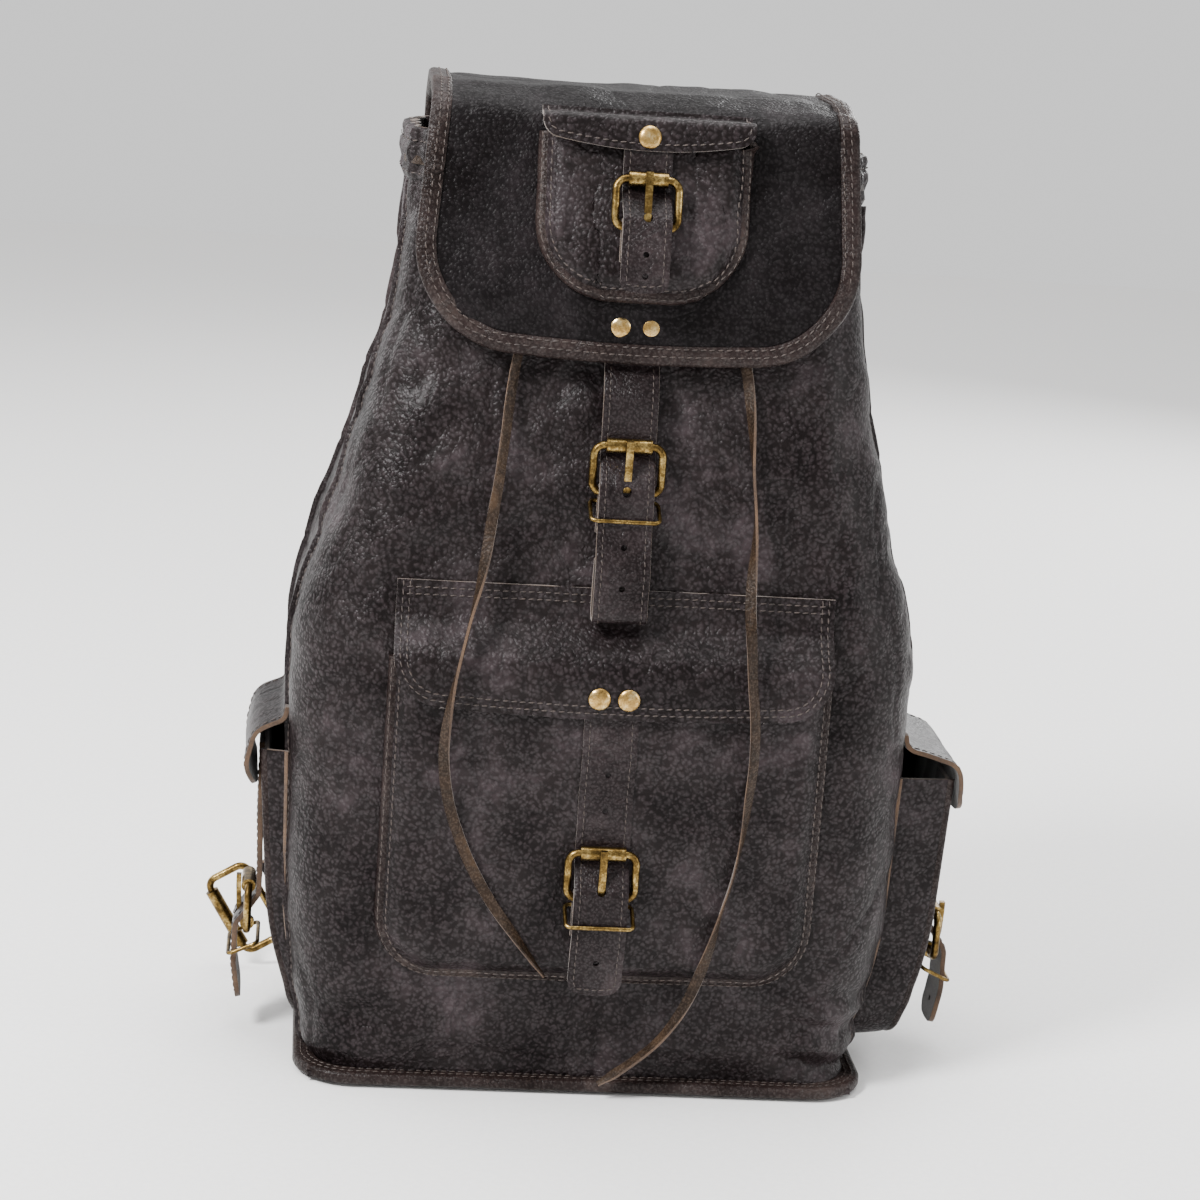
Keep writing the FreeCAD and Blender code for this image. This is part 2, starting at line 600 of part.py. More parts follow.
small_rivet = [(0, small_low + 5.6)]
node("small_flap", layer("small_flap", small_line, -1, 1, small_view, rivet_holes(small_rivet)), face_place)
rivets("small_rivet", small_rivet, 2 + GAP + STRAP, face_place * at(0, small_flap_y - 1, 0))
SMALL_HEEL = 28.5
small_buckle_y = small_face - TRIM - STAND_OFF + 1
small_place = face_place * at(0, small_buckle_y, SMALL_HEEL)
buckle("small", "small_strap_width", small_place, keeper=False, chape_length=14)
above = small_strap_y - small_buckle_y
small_strap_line = threaded([(above, small_low + 11 - SMALL_HEEL), (above, small_low + 1 - SMALL_HEEL, 4)],
                            [(STRAP_FRONT, -17, 20), (STRAP_FRONT + 2.5, -27)])
strap("small_strap", small_strap_line, "small_strap_width", -25, small_low + 10 - SMALL_HEEL, small_place,
      rivet_holes(small_rivet, SMALL_HEEL))

# ---------------------------------------------------------------- side pockets
SIDE_LINE = body_line("width", -0.5, 8, 190)
SIDE_CENTRE = -2
SIDE_HEEL = 48
side_half = size("side_flap_width") / 2
side_hinge = size("side_flap_hinge")
side_low = size("side_flap_bottom")
side_edge = side_low - SIDE_HEEL
side_root_y = -(at_height(side_hinge, "width") / 2 + 1.3)
side_view = [(-side_half, side_hinge + 5), (-side_half, side_low + 5, 8), (0, side_low, 80),
             (side_half, side_low + 5, 8), (side_half, side_hinge + 5)]


def side_place(name, depth):
    """The frame of a side pocket and the frame of its buckle; the left pocket is pressed flatter."""
    place = at(0, SIDE_CENTRE, 0, turn=-90 if name == "left" else 90)
    buckle_out = at_height(SIDE_HEEL + 26, "width") / 2 + size(depth) + STAND_OFF
    return place, place * at(0, -buckle_out, SIDE_HEEL)


def side_pocket(name, depth):
    place, heel = side_place(name, depth)
    patch_pocket("side_pocket_" + name, SIDE_LINE, size(depth), size("pocket_leather"),
                 size("side_pocket_width") / 2, size("side_pocket_bottom"), size("side_pocket_top"), 22,
                 place, bound=False)
    face_y = -(at_height(size("side_pocket_top"), "width") / 2 + size(depth))
    strap_y = face_y - 0.8 - STRAP / 2
    flap_y = strap_y - STRAP / 2 - GAP - 1
    line = [(side_root_y, side_hinge), (side_root_y - 0.2, side_hinge - 2.6, 2.2),
            (flap_y, side_hinge - 6, 6), (flap_y, side_low - 20)]
    node("side_flap_" + name, layer("side_flap_" + name, line, -1, 1, side_view), place)
    above = strap_y + at_height(SIDE_HEEL + 26, "width") / 2 + size(depth) + STAND_OFF
    strap_line = threaded([(above, side_edge + 14), (above, side_edge - 8, 20)],
                          [(STRAP_FRONT, -16, 20), (STRAP_FRONT + 4, -34)])
    buckle("side_" + name, "strap_width", heel, chape_length=0)
    strap("side_strap_" + name, strap_line, "strap_width", -33, side_edge + 13, heel)


SIDE_DEPTHS = {"left": "left_pocket_depth", "right": "right_pocket_depth"}
for name, depth in SIDE_DEPTHS.items():
    side_pocket(name, depth)

# ---------------------------------------------------------------- shoulder straps and haul loop
BACK_LINE = body_line("back", 1, 340, 400)
PADDING = size("shoulder_leather")
YOKE_LOW = 352
YOKE_HIGH = 368
yoke_y = at_height(YOKE_HIGH - 2, "back") + FLAP + 0.6
yoke_foot = at_height(YOKE_LOW, "back") + FLAP + 0.6
shoulder_side = [(yoke_y + PADDING / 2, YOKE_HIGH - 1), (yoke_foot + PADDING / 2, YOKE_LOW - 2, 20),
                 (64, 318, 60), (80, 220, 80), (82, 130, 80), (76, 76, 60), (72, 20)]
HEEL_X = {"left": 141, "right": 132}
HEEL_UP = 34
HEEL_Y = 73
HEEL_TURN = 121
for name, side in (("left", -1), ("right", 1)):
    front_run = [(42 * side, 380), (44 * side, 330, 60), (60 * side, 230, 80), (78 * side, 130, 50),
                 (94 * side, 58, 30), ((HEEL_X[name] - 3) * side, HEEL_UP + 1.8)]
    view = strip(front_run, -size("shoulder_width") / 2, size("shoulder_width") / 2)
    band = layer("shoulder_strap_" + name, shoulder_side, -PADDING / 2, PADDING / 2, view)
    node("shoulder_strap_" + name, band)
    heel = at(HEEL_X[name] * side, HEEL_Y, HEEL_UP)
    heel.Rotation = FreeCAD.Rotation(V(0, 1, 0), side * HEEL_TURN)
    buckle("shoulder_" + name, "shoulder_width", heel, keeper=False, chape_length=0, tongued=False)
node("back_yoke", layer("back_yoke", BACK_LINE, 0, -FLAP, box_outline(-70, YOKE_LOW, 70, YOKE_HIGH, 3)))
anchors = []
anchor_y = at_height(27, "back") + STRAP / 2 + 0.6
for side in (-1, 1):
    tab = padded("lower_tab_%d" % side, "XZ_Plane", [box_outline(0, 0, 26, 20, 4)], "strap_leather")
    tab.Placement = at(side * (RIM_X - 9) - 13, anchor_y, size("rim_height") + 1)
    anchors.append(tab)
node("lower_anchors", grouped("lower_anchors", anchors))
loop_y = at_height(361, "back") + FLAP + 0.6 + STRAP / 2
handle_view = [(-24, 372), (-24, 330, 20), (24, 330, 20), (24, 372)]
handle_side = [(loop_y, YOKE_HIGH - 2), (yoke_foot + STRAP / 2, YOKE_LOW, 20), (loop_y + 7, 325)]
node("haul_loop", layer("haul_loop", handle_side, -STRAP / 2, STRAP / 2, handle_view,
                        [[(-10, 380), (-10, 344, 9), (10, 344, 9), (10, 380)]]))

# ---------------------------------------------------------------- finish
cord("lace_left", LACE_LEFT)
cord("lace_right", LACE_RIGHT)
doc.recompute()
for item in doc.Objects:
    if "Invalid" in item.State or "Error" in item.State:
        raise RuntimeError("%s failed: %s" % (item.Label, item.State))
for name, item in nodes.items():
    if item.Shape.isNull() or not item.Shape.isValid() or not item.Shape.Solids:
        raise RuntimeError(name + " has no valid solid")
    item.Shape.exportStep("parts/" + name + ".step")
print(len(nodes), "nodes")
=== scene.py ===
"""Looks of the leather rucksack: formed leather sheets, sewn edges, brass and laces round the CAD frame."""
import bpy
import math
import numpy as np
from mathutils import Matrix, Vector, noise


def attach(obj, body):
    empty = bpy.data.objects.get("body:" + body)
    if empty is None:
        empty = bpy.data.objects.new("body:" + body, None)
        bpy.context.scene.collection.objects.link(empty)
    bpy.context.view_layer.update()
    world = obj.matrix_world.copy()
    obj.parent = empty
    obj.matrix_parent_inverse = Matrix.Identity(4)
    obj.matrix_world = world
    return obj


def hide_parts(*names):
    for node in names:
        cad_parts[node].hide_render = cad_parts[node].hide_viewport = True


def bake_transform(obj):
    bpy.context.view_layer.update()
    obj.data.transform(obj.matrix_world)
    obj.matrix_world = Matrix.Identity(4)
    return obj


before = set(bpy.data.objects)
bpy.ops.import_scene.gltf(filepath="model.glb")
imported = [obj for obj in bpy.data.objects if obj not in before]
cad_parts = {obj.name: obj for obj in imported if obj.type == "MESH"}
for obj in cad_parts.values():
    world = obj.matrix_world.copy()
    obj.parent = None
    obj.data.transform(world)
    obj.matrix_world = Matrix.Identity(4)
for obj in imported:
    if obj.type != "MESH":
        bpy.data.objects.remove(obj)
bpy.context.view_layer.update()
MM = 0.001


# ---------------------------------------------------------------- materials
def colour(text):
    """sRGB hex to linear RGBA."""
    parts = [int(text[i:i + 2], 16) / 255 for i in (1, 3, 5)]
    return [p / 12.92 if p <= 0.04045 else ((p + 0.055) / 1.055) ** 2.4 for p in parts] + [1.0]


def add(tree, kind, sockets=None, **settings):
    """Adds a node: settings are its properties, sockets its input values or the sockets they come from."""
    item = tree.nodes.new("ShaderNode" + kind)
    for name, value in settings.items():
        setattr(item, name, value)
    for name, value in (sockets or {}).items():
        socket = item.inputs[name]
        if isinstance(value, bpy.types.NodeSocket):
            tree.links.new(value, socket)
        else:
            socket.default_value = value
    return item


def per_mm(size):
    """The scale of a pattern on object coordinates (metres) whose feature is this many millimetres."""
    return 1 / (size * MM)


def new_material(name):
    made = bpy.data.materials.new(name)
    made.use_nodes = True
    tree = made.node_tree
    tree.nodes.clear()
    surface = add(tree, "BsdfPrincipled")
    output = add(tree, "OutputMaterial", {"Surface": surface.outputs[0]})
    return made, tree, surface


def ramp(tree, factor, stops, socket="Color"):
    node = add(tree, "ValToRGB", {"Fac": factor})
    points = node.color_ramp.elements
    while len(points) < len(stops):
        points.new(0.5)
    for point, (place, value) in zip(points, stops):
        point.position = place
        point.color = colour(value) if isinstance(value, str) else (value, value, value, 1)
    return node.outputs[socket]


def maths(tree, operation, a, b):
    return add(tree, "Math", {0: a, 1: b}, operation=operation).outputs[0]


def leather(name, dark, mid, light, grain=1.5, rough=(0.34, 0.52), relief=0.32, crease=0.16, shine=0.4):
    """Drum-dyed goat leather: rounded pebbles, a waxy gloss, pebble tops mixed lighter and painted shade
    darkening the crease lines.
    """
    made, tree, surface = new_material(name)
    place = add(tree, "TexCoord").outputs["Object"]
    wander = add(tree, "TexNoise", {"Vector": place, "Scale": per_mm(grain * 2.2), "Detail": 2.0})
    shifted = add(tree, "MixRGB", {"Fac": 0.0009 * grain, "Color1": place,
                                   "Color2": wander.outputs["Color"]},
                  blend_type="LINEAR_LIGHT").outputs[0]
    pebble = add(tree, "TexVoronoi", {"Vector": shifted, "Scale": per_mm(grain)}, feature="SMOOTH_F1")
    pebble.inputs["Smoothness"].default_value = 0.55
    tops = ramp(tree, pebble.outputs["Distance"], [(0.18, 1.0), (0.62, 0.0)])
    pores = add(tree, "TexNoise", {"Vector": place, "Scale": per_mm(0.5), "Detail": 3.0, "Roughness": 0.6})
    folds = add(tree, "TexNoise", {"Vector": place, "Scale": per_mm(16), "Detail": 5.0, "Roughness": 0.62,
                                   "Distortion": 0.9})
    veins = ramp(tree, folds.outputs["Fac"], [(0.42, 1.0), (0.5, 0.0), (0.58, 1.0)])
    cloud = add(tree, "TexNoise", {"Vector": place, "Scale": per_mm(38), "Detail": 4.0, "Roughness": 0.6})
    height = maths(tree, "ADD", maths(tree, "MULTIPLY", tops, relief),
                   maths(tree, "ADD", maths(tree, "MULTIPLY", pores.outputs["Fac"], 0.10),
                         maths(tree, "MULTIPLY", veins, crease)))
    bump = add(tree, "Bump", {"Height": height, "Strength": 1.0, "Distance": 0.0006})
    broad = ramp(tree, cloud.outputs["Fac"], [(0.3, dark), (0.55, mid), (0.75, light)])
    # The base colour is mixed towards the light colour on the pebble tops.
    pebble_tops_lighter = add(tree, "MixRGB", {"Fac": maths(tree, "MULTIPLY", tops, 0.35), "Color1": broad,
                                "Color2": colour(light)})
    # Painted shade: the base colour is mixed towards the dark colour along the crease lines.
    painted_crease_shade = add(tree, "MixRGB", {"Fac": maths(tree, "MULTIPLY", maths(tree, "SUBTRACT", 1.0, veins), 0.45),
                                  "Color1": pebble_tops_lighter.outputs[0], "Color2": colour(dark)})
    gloss = ramp(tree, cloud.outputs["Fac"], [(0.35, rough[0]), (0.7, rough[1])])
    wax = ramp(tree, cloud.outputs["Fac"], [(0.34, 0.42), (0.68, 1.0)])
    rubbed = maths(tree, "MULTIPLY", maths(tree, "ADD", maths(tree, "MULTIPLY", tops, 0.5), 0.4), wax)
    tree.links.new(maths(tree, "MULTIPLY", rubbed, shine), surface.inputs["Specular IOR Level"])
    tree.links.new(painted_crease_shade.outputs[0], surface.inputs["Base Color"])
    tree.links.new(gloss, surface.inputs["Roughness"])
    tree.links.new(bump.outputs[0], surface.inputs["Normal"])
    surface.inputs["IOR"].default_value = 1.5
    surface.inputs["Coat Weight"].default_value = 0.015
    surface.inputs["Coat Roughness"].default_value = 0.25
    return made


def suede(name, dark, light):
    """The flesh side and cut edges of leather: matt, brown and fibrous."""
    made, tree, surface = new_material(name)
    place = add(tree, "TexCoord").outputs["Object"]
    fibre = add(tree, "TexNoise", {"Vector": place, "Scale": per_mm(0.7), "Detail": 5.0, "Roughness": 0.7})
    cloud = add(tree, "TexNoise", {"Vector": place, "Scale": per_mm(12), "Detail": 4.0})
    mixed = maths(tree, "ADD", maths(tree, "MULTIPLY", fibre.outputs["Fac"], 0.5),
                  maths(tree, "MULTIPLY", cloud.outputs["Fac"], 0.5))
    tree.links.new(ramp(tree, mixed, [(0.35, dark), (0.65, light)]), surface.inputs["Base Color"])
    bump = add(tree, "Bump", {"Height": fibre.outputs["Fac"], "Strength": 0.7, "Distance": 0.0003})
    tree.links.new(bump.outputs[0], surface.inputs["Normal"])
    surface.inputs["Roughness"].default_value = 0.9
    surface.inputs["Sheen Weight"].default_value = 0.25
    return made


def brass(name, dark, mid, light, rough):
    """Tumbled, antiqued brass: brown patina in the hollows, bright and finely scratched where it rubs."""
    made, tree, surface = new_material(name)
    place = add(tree, "TexCoord").outputs["Object"]
    patina = add(tree, "TexNoise", {"Vector": place, "Scale": per_mm(5), "Detail": 6.0, "Roughness": 0.65})
    speck = add(tree, "TexNoise", {"Vector": place, "Scale": per_mm(0.8), "Detail": 4.0, "Roughness": 0.7})
    mixed = maths(tree, "ADD", maths(tree, "MULTIPLY", patina.outputs["Fac"], 0.65),
                  maths(tree, "MULTIPLY", speck.outputs["Fac"], 0.35))
    tree.links.new(ramp(tree, mixed, [(0.34, dark), (0.5, mid), (0.64, light)]),
                   surface.inputs["Base Color"])
    tree.links.new(ramp(tree, mixed, [(0.35, rough + 0.16), (0.65, rough)]), surface.inputs["Roughness"])
    bump = add(tree, "Bump", {"Height": mixed, "Strength": 0.35, "Distance": 0.0003})
    tree.links.new(bump.outputs[0], surface.inputs["Normal"])
    surface.inputs["Metallic"].default_value = 1.0
    return made


def thread_finish(name, shade, light):
    """Waxed linen thread: two plies twisted, slightly shiny."""
    made, tree, surface = new_material(name)
    place = add(tree, "TexCoord").outputs["Object"]
    ply = add(tree, "TexNoise", {"Vector": place, "Scale": per_mm(0.6), "Detail": 3.0})
    tree.links.new(ramp(tree, ply.outputs["Fac"], [(0.35, shade), (0.65, light)]),
                   surface.inputs["Base Color"])
    bump = add(tree, "Bump", {"Height": ply.outputs["Fac"], "Strength": 0.6, "Distance": 0.0002})
    tree.links.new(bump.outputs[0], surface.inputs["Normal"])
    surface.inputs["Roughness"].default_value = 0.55
    return made


BODY_LEATHER = leather("pull-up goat leather, body", "#0a0707", "#171111", "#3a3033", grain=1.7)
FLAP_LEATHER = leather("pull-up goat leather, flap", "#080606", "#0e0b0c", "#1d1719", grain=1.5,
                       rough=(0.36, 0.55), shine=0.22)
STRAP_LEATHER = leather("bridle leather, straps", "#0e0a0a", "#1d1617", "#362c2d", grain=1.2, relief=0.2,
                        crease=0.3, rough=(0.3, 0.46))
BINDING_LEATHER = leather("skived goat binding", "#130d0c", "#211817", "#3b302c", grain=1.2, relief=0.22,
                          crease=0.35)
LACE_LEATHER = leather("goat lace", "#15100c", "#281d15", "#4a3827", grain=1.0, relief=0.15, crease=0.3,
                       rough=(0.4, 0.6))
FLESH = suede("goat flesh side", "#15100e", "#2b221c")
RAW_EDGE = suede("cut edge of goat leather", "#2a1d15", "#5d4530")
BRASS = brass("antique brass, cast", "#1f160b", "#65502a", "#b39a62", 0.24)
RIVET_BRASS = brass("antique brass, pressed", "#5a4526", "#a8874f", "#dcc491", 0.2)
THREAD = thread_finish("waxed linen thread", "#1d1614", "#463a34")


# ---------------------------------------------------------------- shaping tools
def smooth_line(corners, step=1.0):
    """A smooth line through round-cornered points, as evenly spaced points; corners are (u, v, radius)."""
    ends = []
    for i, corner in enumerate(corners):
        point = Vector(corner[:2])
        radius = corner[2] if len(corner) > 2 else 0
        if radius and 0 < i < len(corners) - 1:
            before = Vector(corners[i - 1][:2])
            after = Vector(corners[i + 1][:2])
            into = (point - before).normalized()
            out = (after - point).normalized()
            turn = into.angle(out, 0)
            back = min(radius * math.tan(turn / 2), (point - before).length * 0.49,
                       (after - point).length * 0.49)
            start = point - into * back
            end = point + out * back
            for k in range(9):
                t = k / 8
                ends.append(start * (1 - t) ** 2 + point * 2 * t * (1 - t) + end * t ** 2)
        else:
            ends.append(point)
    lengths = [0.0]
    for a, b in zip(ends, ends[1:]):
        lengths.append(lengths[-1] + (b - a).length)
    count = max(2, round(lengths[-1] / step))
    marks = np.linspace(0, lengths[-1], count + 1)
    us = np.interp(marks, lengths, [p.x for p in ends])
    vs = np.interp(marks, lengths, [p.y for p in ends])
    return marks, us, vs


class Line:
    """A side line in a plane, read by its length from the start."""

    def __init__(self, corners, step=1.0):
        self.marks, self.us, self.vs = smooth_line(corners, step)
        self.length = self.marks[-1]

    def at(self, mark):
        return float(np.interp(mark, self.marks, self.us)), float(np.interp(mark, self.marks, self.vs))


def ease(value, low, high):
    t = max(0.0, min(1.0, (value - low) / (high - low)))
    return t * t * (3 - 2 * t)


def ripple(point, size, seed=0.0):
    """Soft unevenness of about this size in millimetres, from -1 to 1."""
    return noise.noise(Vector(point) / size + Vector((seed, seed * 1.7, -seed)))


def finish_mesh(obj, name, material, body, nodes=()):
    obj.name = name
    obj.data.name = name
    if not obj.data.materials:
        obj.data.materials.append(material)
    obj.data.transform(Matrix.Scale(MM, 4))
    if isinstance(body, tuple):
        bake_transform(obj)
    else:
        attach(obj, body)
    if nodes:
        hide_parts(*nodes)
    return obj


def only(obj):
    bpy.ops.object.select_all(action="DESELECT")
    obj.select_set(True)
    bpy.context.view_layer.objects.active = obj


def apply_modifiers(obj):
    only(obj)
    for modifier in list(obj.modifiers):
        bpy.ops.object.modifier_apply(modifier=modifier.name)


def set_points(obj, points):
    obj.data.vertices.foreach_set("co", np.asarray(points, dtype=np.float32).ravel())
    obj.data.update()


def grid(columns, rows):
    bpy.ops.object.select_all(action="DESELECT")
    bpy.ops.mesh.primitive_grid_add(x_subdivisions=columns, y_subdivisions=rows, size=2)
    return bpy.context.object


def leather_sheet(name, shape, columns, rows, thickness, material, body, nodes=(), slot="body_leather",
                  inside=FLESH, edge=None, soften=0.5, offset=0.0, cutters=()):
    """A leather sheet: a grid bent by shape(u, v), given its thickness and rounded cut edges."""
    obj = grid(columns, rows)
    marks = [((i % (columns + 1)) / columns, (i // (columns + 1)) / rows)
             for i in range(len(obj.data.vertices))]
    set_points(obj, [shape(u, v) for u, v in marks])
    obj.data.materials.append(material)
    obj.data.materials.append(inside)
    obj.data.materials.append(edge or RAW_EDGE)
    solid = obj.modifiers.new("thickness", "SOLIDIFY")
    solid.thickness = thickness
    solid.offset = offset
    solid.material_offset = 1
    solid.material_offset_rim = 2
    if soften:
        bevel = obj.modifiers.new("soft edge", "BEVEL")
        bevel.width = min(soften, thickness * 0.4)
        bevel.segments = 2
        bevel.limit_method = "ANGLE"
        bevel.angle_limit = math.radians(50)
    apply_modifiers(obj)
    for cutter in cutters:
        hole = obj.modifiers.new("hole", "BOOLEAN")
        hole.operation = "DIFFERENCE"
        hole.solver = "EXACT"
        hole.object = cutter
        apply_modifiers(obj)
        bpy.data.objects.remove(cutter, do_unlink=True)
    only(obj)
    bpy.ops.object.shade_smooth_by_angle(angle=math.radians(55))
    return finish_mesh(obj, name, material, body, nodes)


def turned_out(shape, u, v, gap=0.02):
    """The surface's point and outward normal at (u, v)."""
    point = Vector(shape(u, v))
    across = Vector(shape(min(u + gap, 1), v)) - Vector(shape(max(u - gap, 0), v))
    along = Vector(shape(u, min(v + gap, 1))) - Vector(shape(u, max(v - gap, 0)))
    return point, across.cross(along).normalized()


def stitches(name, runs, body, pitch=3.6, length=2.7, size=0.62, lift=0.1):
    """Lockstitches along lines of (point, outward normal): one capsule stitch, copied at every hole."""
    bpy.ops.object.select_all(action="DESELECT")
    bpy.ops.mesh.primitive_uv_sphere_add(segments=6, ring_count=5, radius=0.5)
    seed = bpy.context.object
    base = np.array([vertex.co for vertex in seed.data.vertices])
    faces = [list(face.vertices) for face in seed.data.polygons]
    bpy.data.objects.remove(seed, do_unlink=True)
    points = []
    polygons = []
    for run in runs:
        marks = [0.0]
        for (a, _), (b, _) in zip(run, run[1:]):
            marks.append(marks[-1] + (b - a).length)
        count = int(marks[-1] / pitch)
        for k in range(count):
            mark = (k + 0.5) * marks[-1] / count
            i = min(int(np.searchsorted(marks, mark)), len(run) - 1)
            share = (mark - marks[i - 1]) / max(marks[i] - marks[i - 1], 1e-6)
            centre = run[i - 1][0].lerp(run[i][0], share)
            out = run[i - 1][1].lerp(run[i][1], share).normalized()
            way = (run[i][0] - run[i - 1][0]).normalized()
            side = out.cross(way).normalized()
            way = (way + side * 0.12).normalized()
            placed = (base[:, :1] * np.array(side) * size * 1.15 + base[:, 1:2] * np.array(out) * size
                      + base[:, 2:] * np.array(way) * length + np.array(centre + out * lift))
            start = len(points)
            points.extend(placed.tolist())
            polygons.extend([[start + j for j in face] for face in faces])
    mesh = bpy.data.meshes.new(name)
    mesh.from_pydata(points, [], polygons)
    mesh.shade_smooth()
    obj = bpy.data.objects.new(name, mesh)
    bpy.context.collection.objects.link(obj)
    only(obj)
    bpy.ops.object.mode_set(mode="EDIT")
    bpy.ops.mesh.select_all(action="SELECT")
    bpy.ops.mesh.normals_make_consistent(inside=False)
    bpy.ops.object.mode_set(mode="OBJECT")
    return finish_mesh(obj, name, THREAD, body, ())


def swept(name, path, section, material, body, nodes=(), closed=False, smooth=True):
    """A strip of a given section along a path of (point, across, out) frames."""
    count = len(section)
    obj = grid(count, len(path) - (0 if closed else 1))
    points = []
    for row in range(len(path) + (1 if closed else 0)):
        point, across, out = path[row % len(path)]
        for a, b in [*section, section[0]]:
            points.append(point + across * a + out * b)
    set_points(obj, points)
    only(obj)
    bpy.ops.object.mode_set(mode="EDIT")
    bpy.ops.mesh.select_all(action="SELECT")
    bpy.ops.mesh.remove_doubles(threshold=0.001)
    if not closed:
        bpy.ops.mesh.select_all(action="DESELECT")
        bpy.ops.mesh.select_mode(type="EDGE")
        bpy.ops.mesh.select_non_manifold()
        bpy.ops.mesh.edge_face_add()
    bpy.ops.mesh.select_all(action="SELECT")
    bpy.ops.mesh.normals_make_consistent(inside=False)
    bpy.ops.object.mode_set(mode="OBJECT")
    if smooth:
        bpy.ops.object.shade_smooth_by_angle(angle=math.radians(50))
    return finish_mesh(obj, name, material, body, nodes)


# ---------------------------------------------------------------- flat patterns
class Pattern:
    """A leather piece laid flat: half widths at heights, round lower corners and an edge that bows down."""

    def __init__(self, widths, corner=0.0, bow=0.0, lean=0.0):
        self.heights, self.halves = zip(*widths)
        self.low, self.high = self.heights[0], self.heights[-1]
        self.corner, self.bow, self.lean = corner, bow, lean

    def half(self, up, inset=0.0):
        full = float(np.interp(up, self.heights, self.halves)) - inset
        reach = max(self.corner - inset, 0.01)
        short = self.low + self.corner - up
        if short > 0:
            full -= reach - math.sqrt(max(reach ** 2 - min(short, reach) ** 2, 0))
        return full

    def bowed(self, x, up):
        share = min(abs(x) / self.halves[0], 1)
        drop = self.bow * (1 - share ** 2) * (1 - ease(up, self.low, self.low + self.corner * 1.5 + 6))
        return x + self.lean * (1 - ease(up, self.low, self.low + 40)), up - drop

    def point(self, u, v):
        turn = 0.2 if self.corner > 2 else 0.0
        if v < turn:
            up = self.low + self.corner * (1 - math.cos(v / turn * math.pi / 2))
        else:
            up = self.low + self.corner * bool(turn)
            up += (self.high - up) * (v - turn) / (1 - turn)
        return self.bowed((2 * u - 1) * self.half(up), up)

    def edge(self, inset=0.0, step=2.5, top=None):
        """The outline from the top left, down, round the lower corners and up to the top right."""
        reach = max(self.corner - inset, 0.01)
        low = self.low + inset
        top = self.high if top is None else top
        rise = max(2, int((top - low - reach) / step))
        left = [(-self.half(up, inset), up) for up in np.linspace(top, low + reach, rise)]
        bend = max(3, int(reach * 1.57 / step))
        for angle in np.linspace(0, math.pi / 2, bend)[1:]:
            up = low + reach * (1 - math.sin(angle))
            full = float(np.interp(up, self.heights, self.halves)) - inset
            left.append((-(full - reach * (1 - math.cos(angle))), up))
        run = max(2, int(-left[-1][0] * 2 / step))
        bottom = [(x, low) for x in np.linspace(left[-1][0], -left[-1][0], run)[1:-1]]
        return [self.bowed(x, up) for x, up in left + bottom + [(-x, up) for x, up in left[::-1]]]

    def depth(self, x, up):
        """How far a point lies inside the sewn edge; the upper edge is open."""
        side = float(np.interp(up, self.heights, self.halves)) - abs(x)
        foot = up - self.low
        if side < self.corner and foot < self.corner:
            return self.corner - math.hypot(self.corner - side, self.corner - foot)
        return min(side, foot)


def frames(surface, path, lift=0.0, closed=False):
    """Frames (point, inward, out) along a path on a formed surface; inward is to the path's left."""
    made = []
    for i, (x, up) in enumerate(path):
        before = path[i - 1] if closed or i else path[0]
        after = path[(i + 1) % len(path)] if closed or i + 1 < len(path) else path[i]
        way = Vector((after[0] - before[0], after[1] - before[1])).normalized()
        left = Vector((-way.y, way.x))
        point = Vector(surface(x, up))
        inward = Vector(surface(x + left.x * 0.5, up + left.y * 0.5)) - point
        along = Vector(surface(x + way.x * 0.5, up + way.y * 0.5)) - point
        out = along.cross(inward).normalized()
        made.append((point + out * lift, out.cross(along).normalized(), out))
    return made


def sewn(surface, path, lift):
    return [(point, out) for point, _, out in frames(surface, path, lift)]


def formed(name, surface, pattern, columns, rows, thickness, material, body, nodes, slot="body_leather",
           **more):
    """A pattern piece put on its form."""
    return leather_sheet(name, lambda u, v: surface(*pattern.point(u, v)), columns, rows, thickness,
                         material,
                         body, nodes, slot, **more)


def wrapped_edge(width, half_leather, trim=1.1):
    """The section of a binding folded round a leather edge: (inward, outward) points."""
    out = half_leather + trim
    front = [(width, half_leather - 0.3), (width - 0.1, out - 0.35), (width - 0.7, out),
             (width * 0.5, out + 0.1),
             (0.6, out + 0.1), (-0.6, out - 0.4), (-1.3, out * 0.45)]
    return front + [(a, -b) for a, b in front[::-1]]


def ramp_up(value, reach):
    """From 0 to 1 over a reach, steep at first, as leather turns over an edge."""
    t = max(0.0, min(1.0, value / reach))
    return 1 - (1 - t) ** 2.2


def crease(point, size, seed=0.0, width=0.16):
    """Thin winding creases, 1 on a crease and 0 away from it."""
    value = abs(noise.noise(Vector(point) / size + Vector((seed, -seed, seed * 2))))
    return max(0.0, 1 - value / width) ** 1.5


# ---------------------------------------------------------------- the bag's form
HEIGHTS = (4, 60, 150, 205, 275, 335, 408)
FORM = {"width": (234, 262, 268, 268, 224, 196, 188), "front": (65, 70, 72, 70, 62, 52, 34),
        "back": (65, 68, 68, 66, 60, 50, 36), "corner": (24, 32, 36, 36, 30, 26, 20)}
FOOT, MOUTH = 4, 408
SEAM_LOW, SEAM_HIGH = 40, 17


def form(what, height):
    """A size of the bag at a height, the levels flowing into each other."""
    return float(np.mean(np.interp(height + np.linspace(-14, 14, 5), HEIGHTS, FORM[what])))


def seam_y(height):
    return SEAM_LOW + (SEAM_HIGH - SEAM_LOW) * (height - FOOT) / (MOUTH - FOOT)


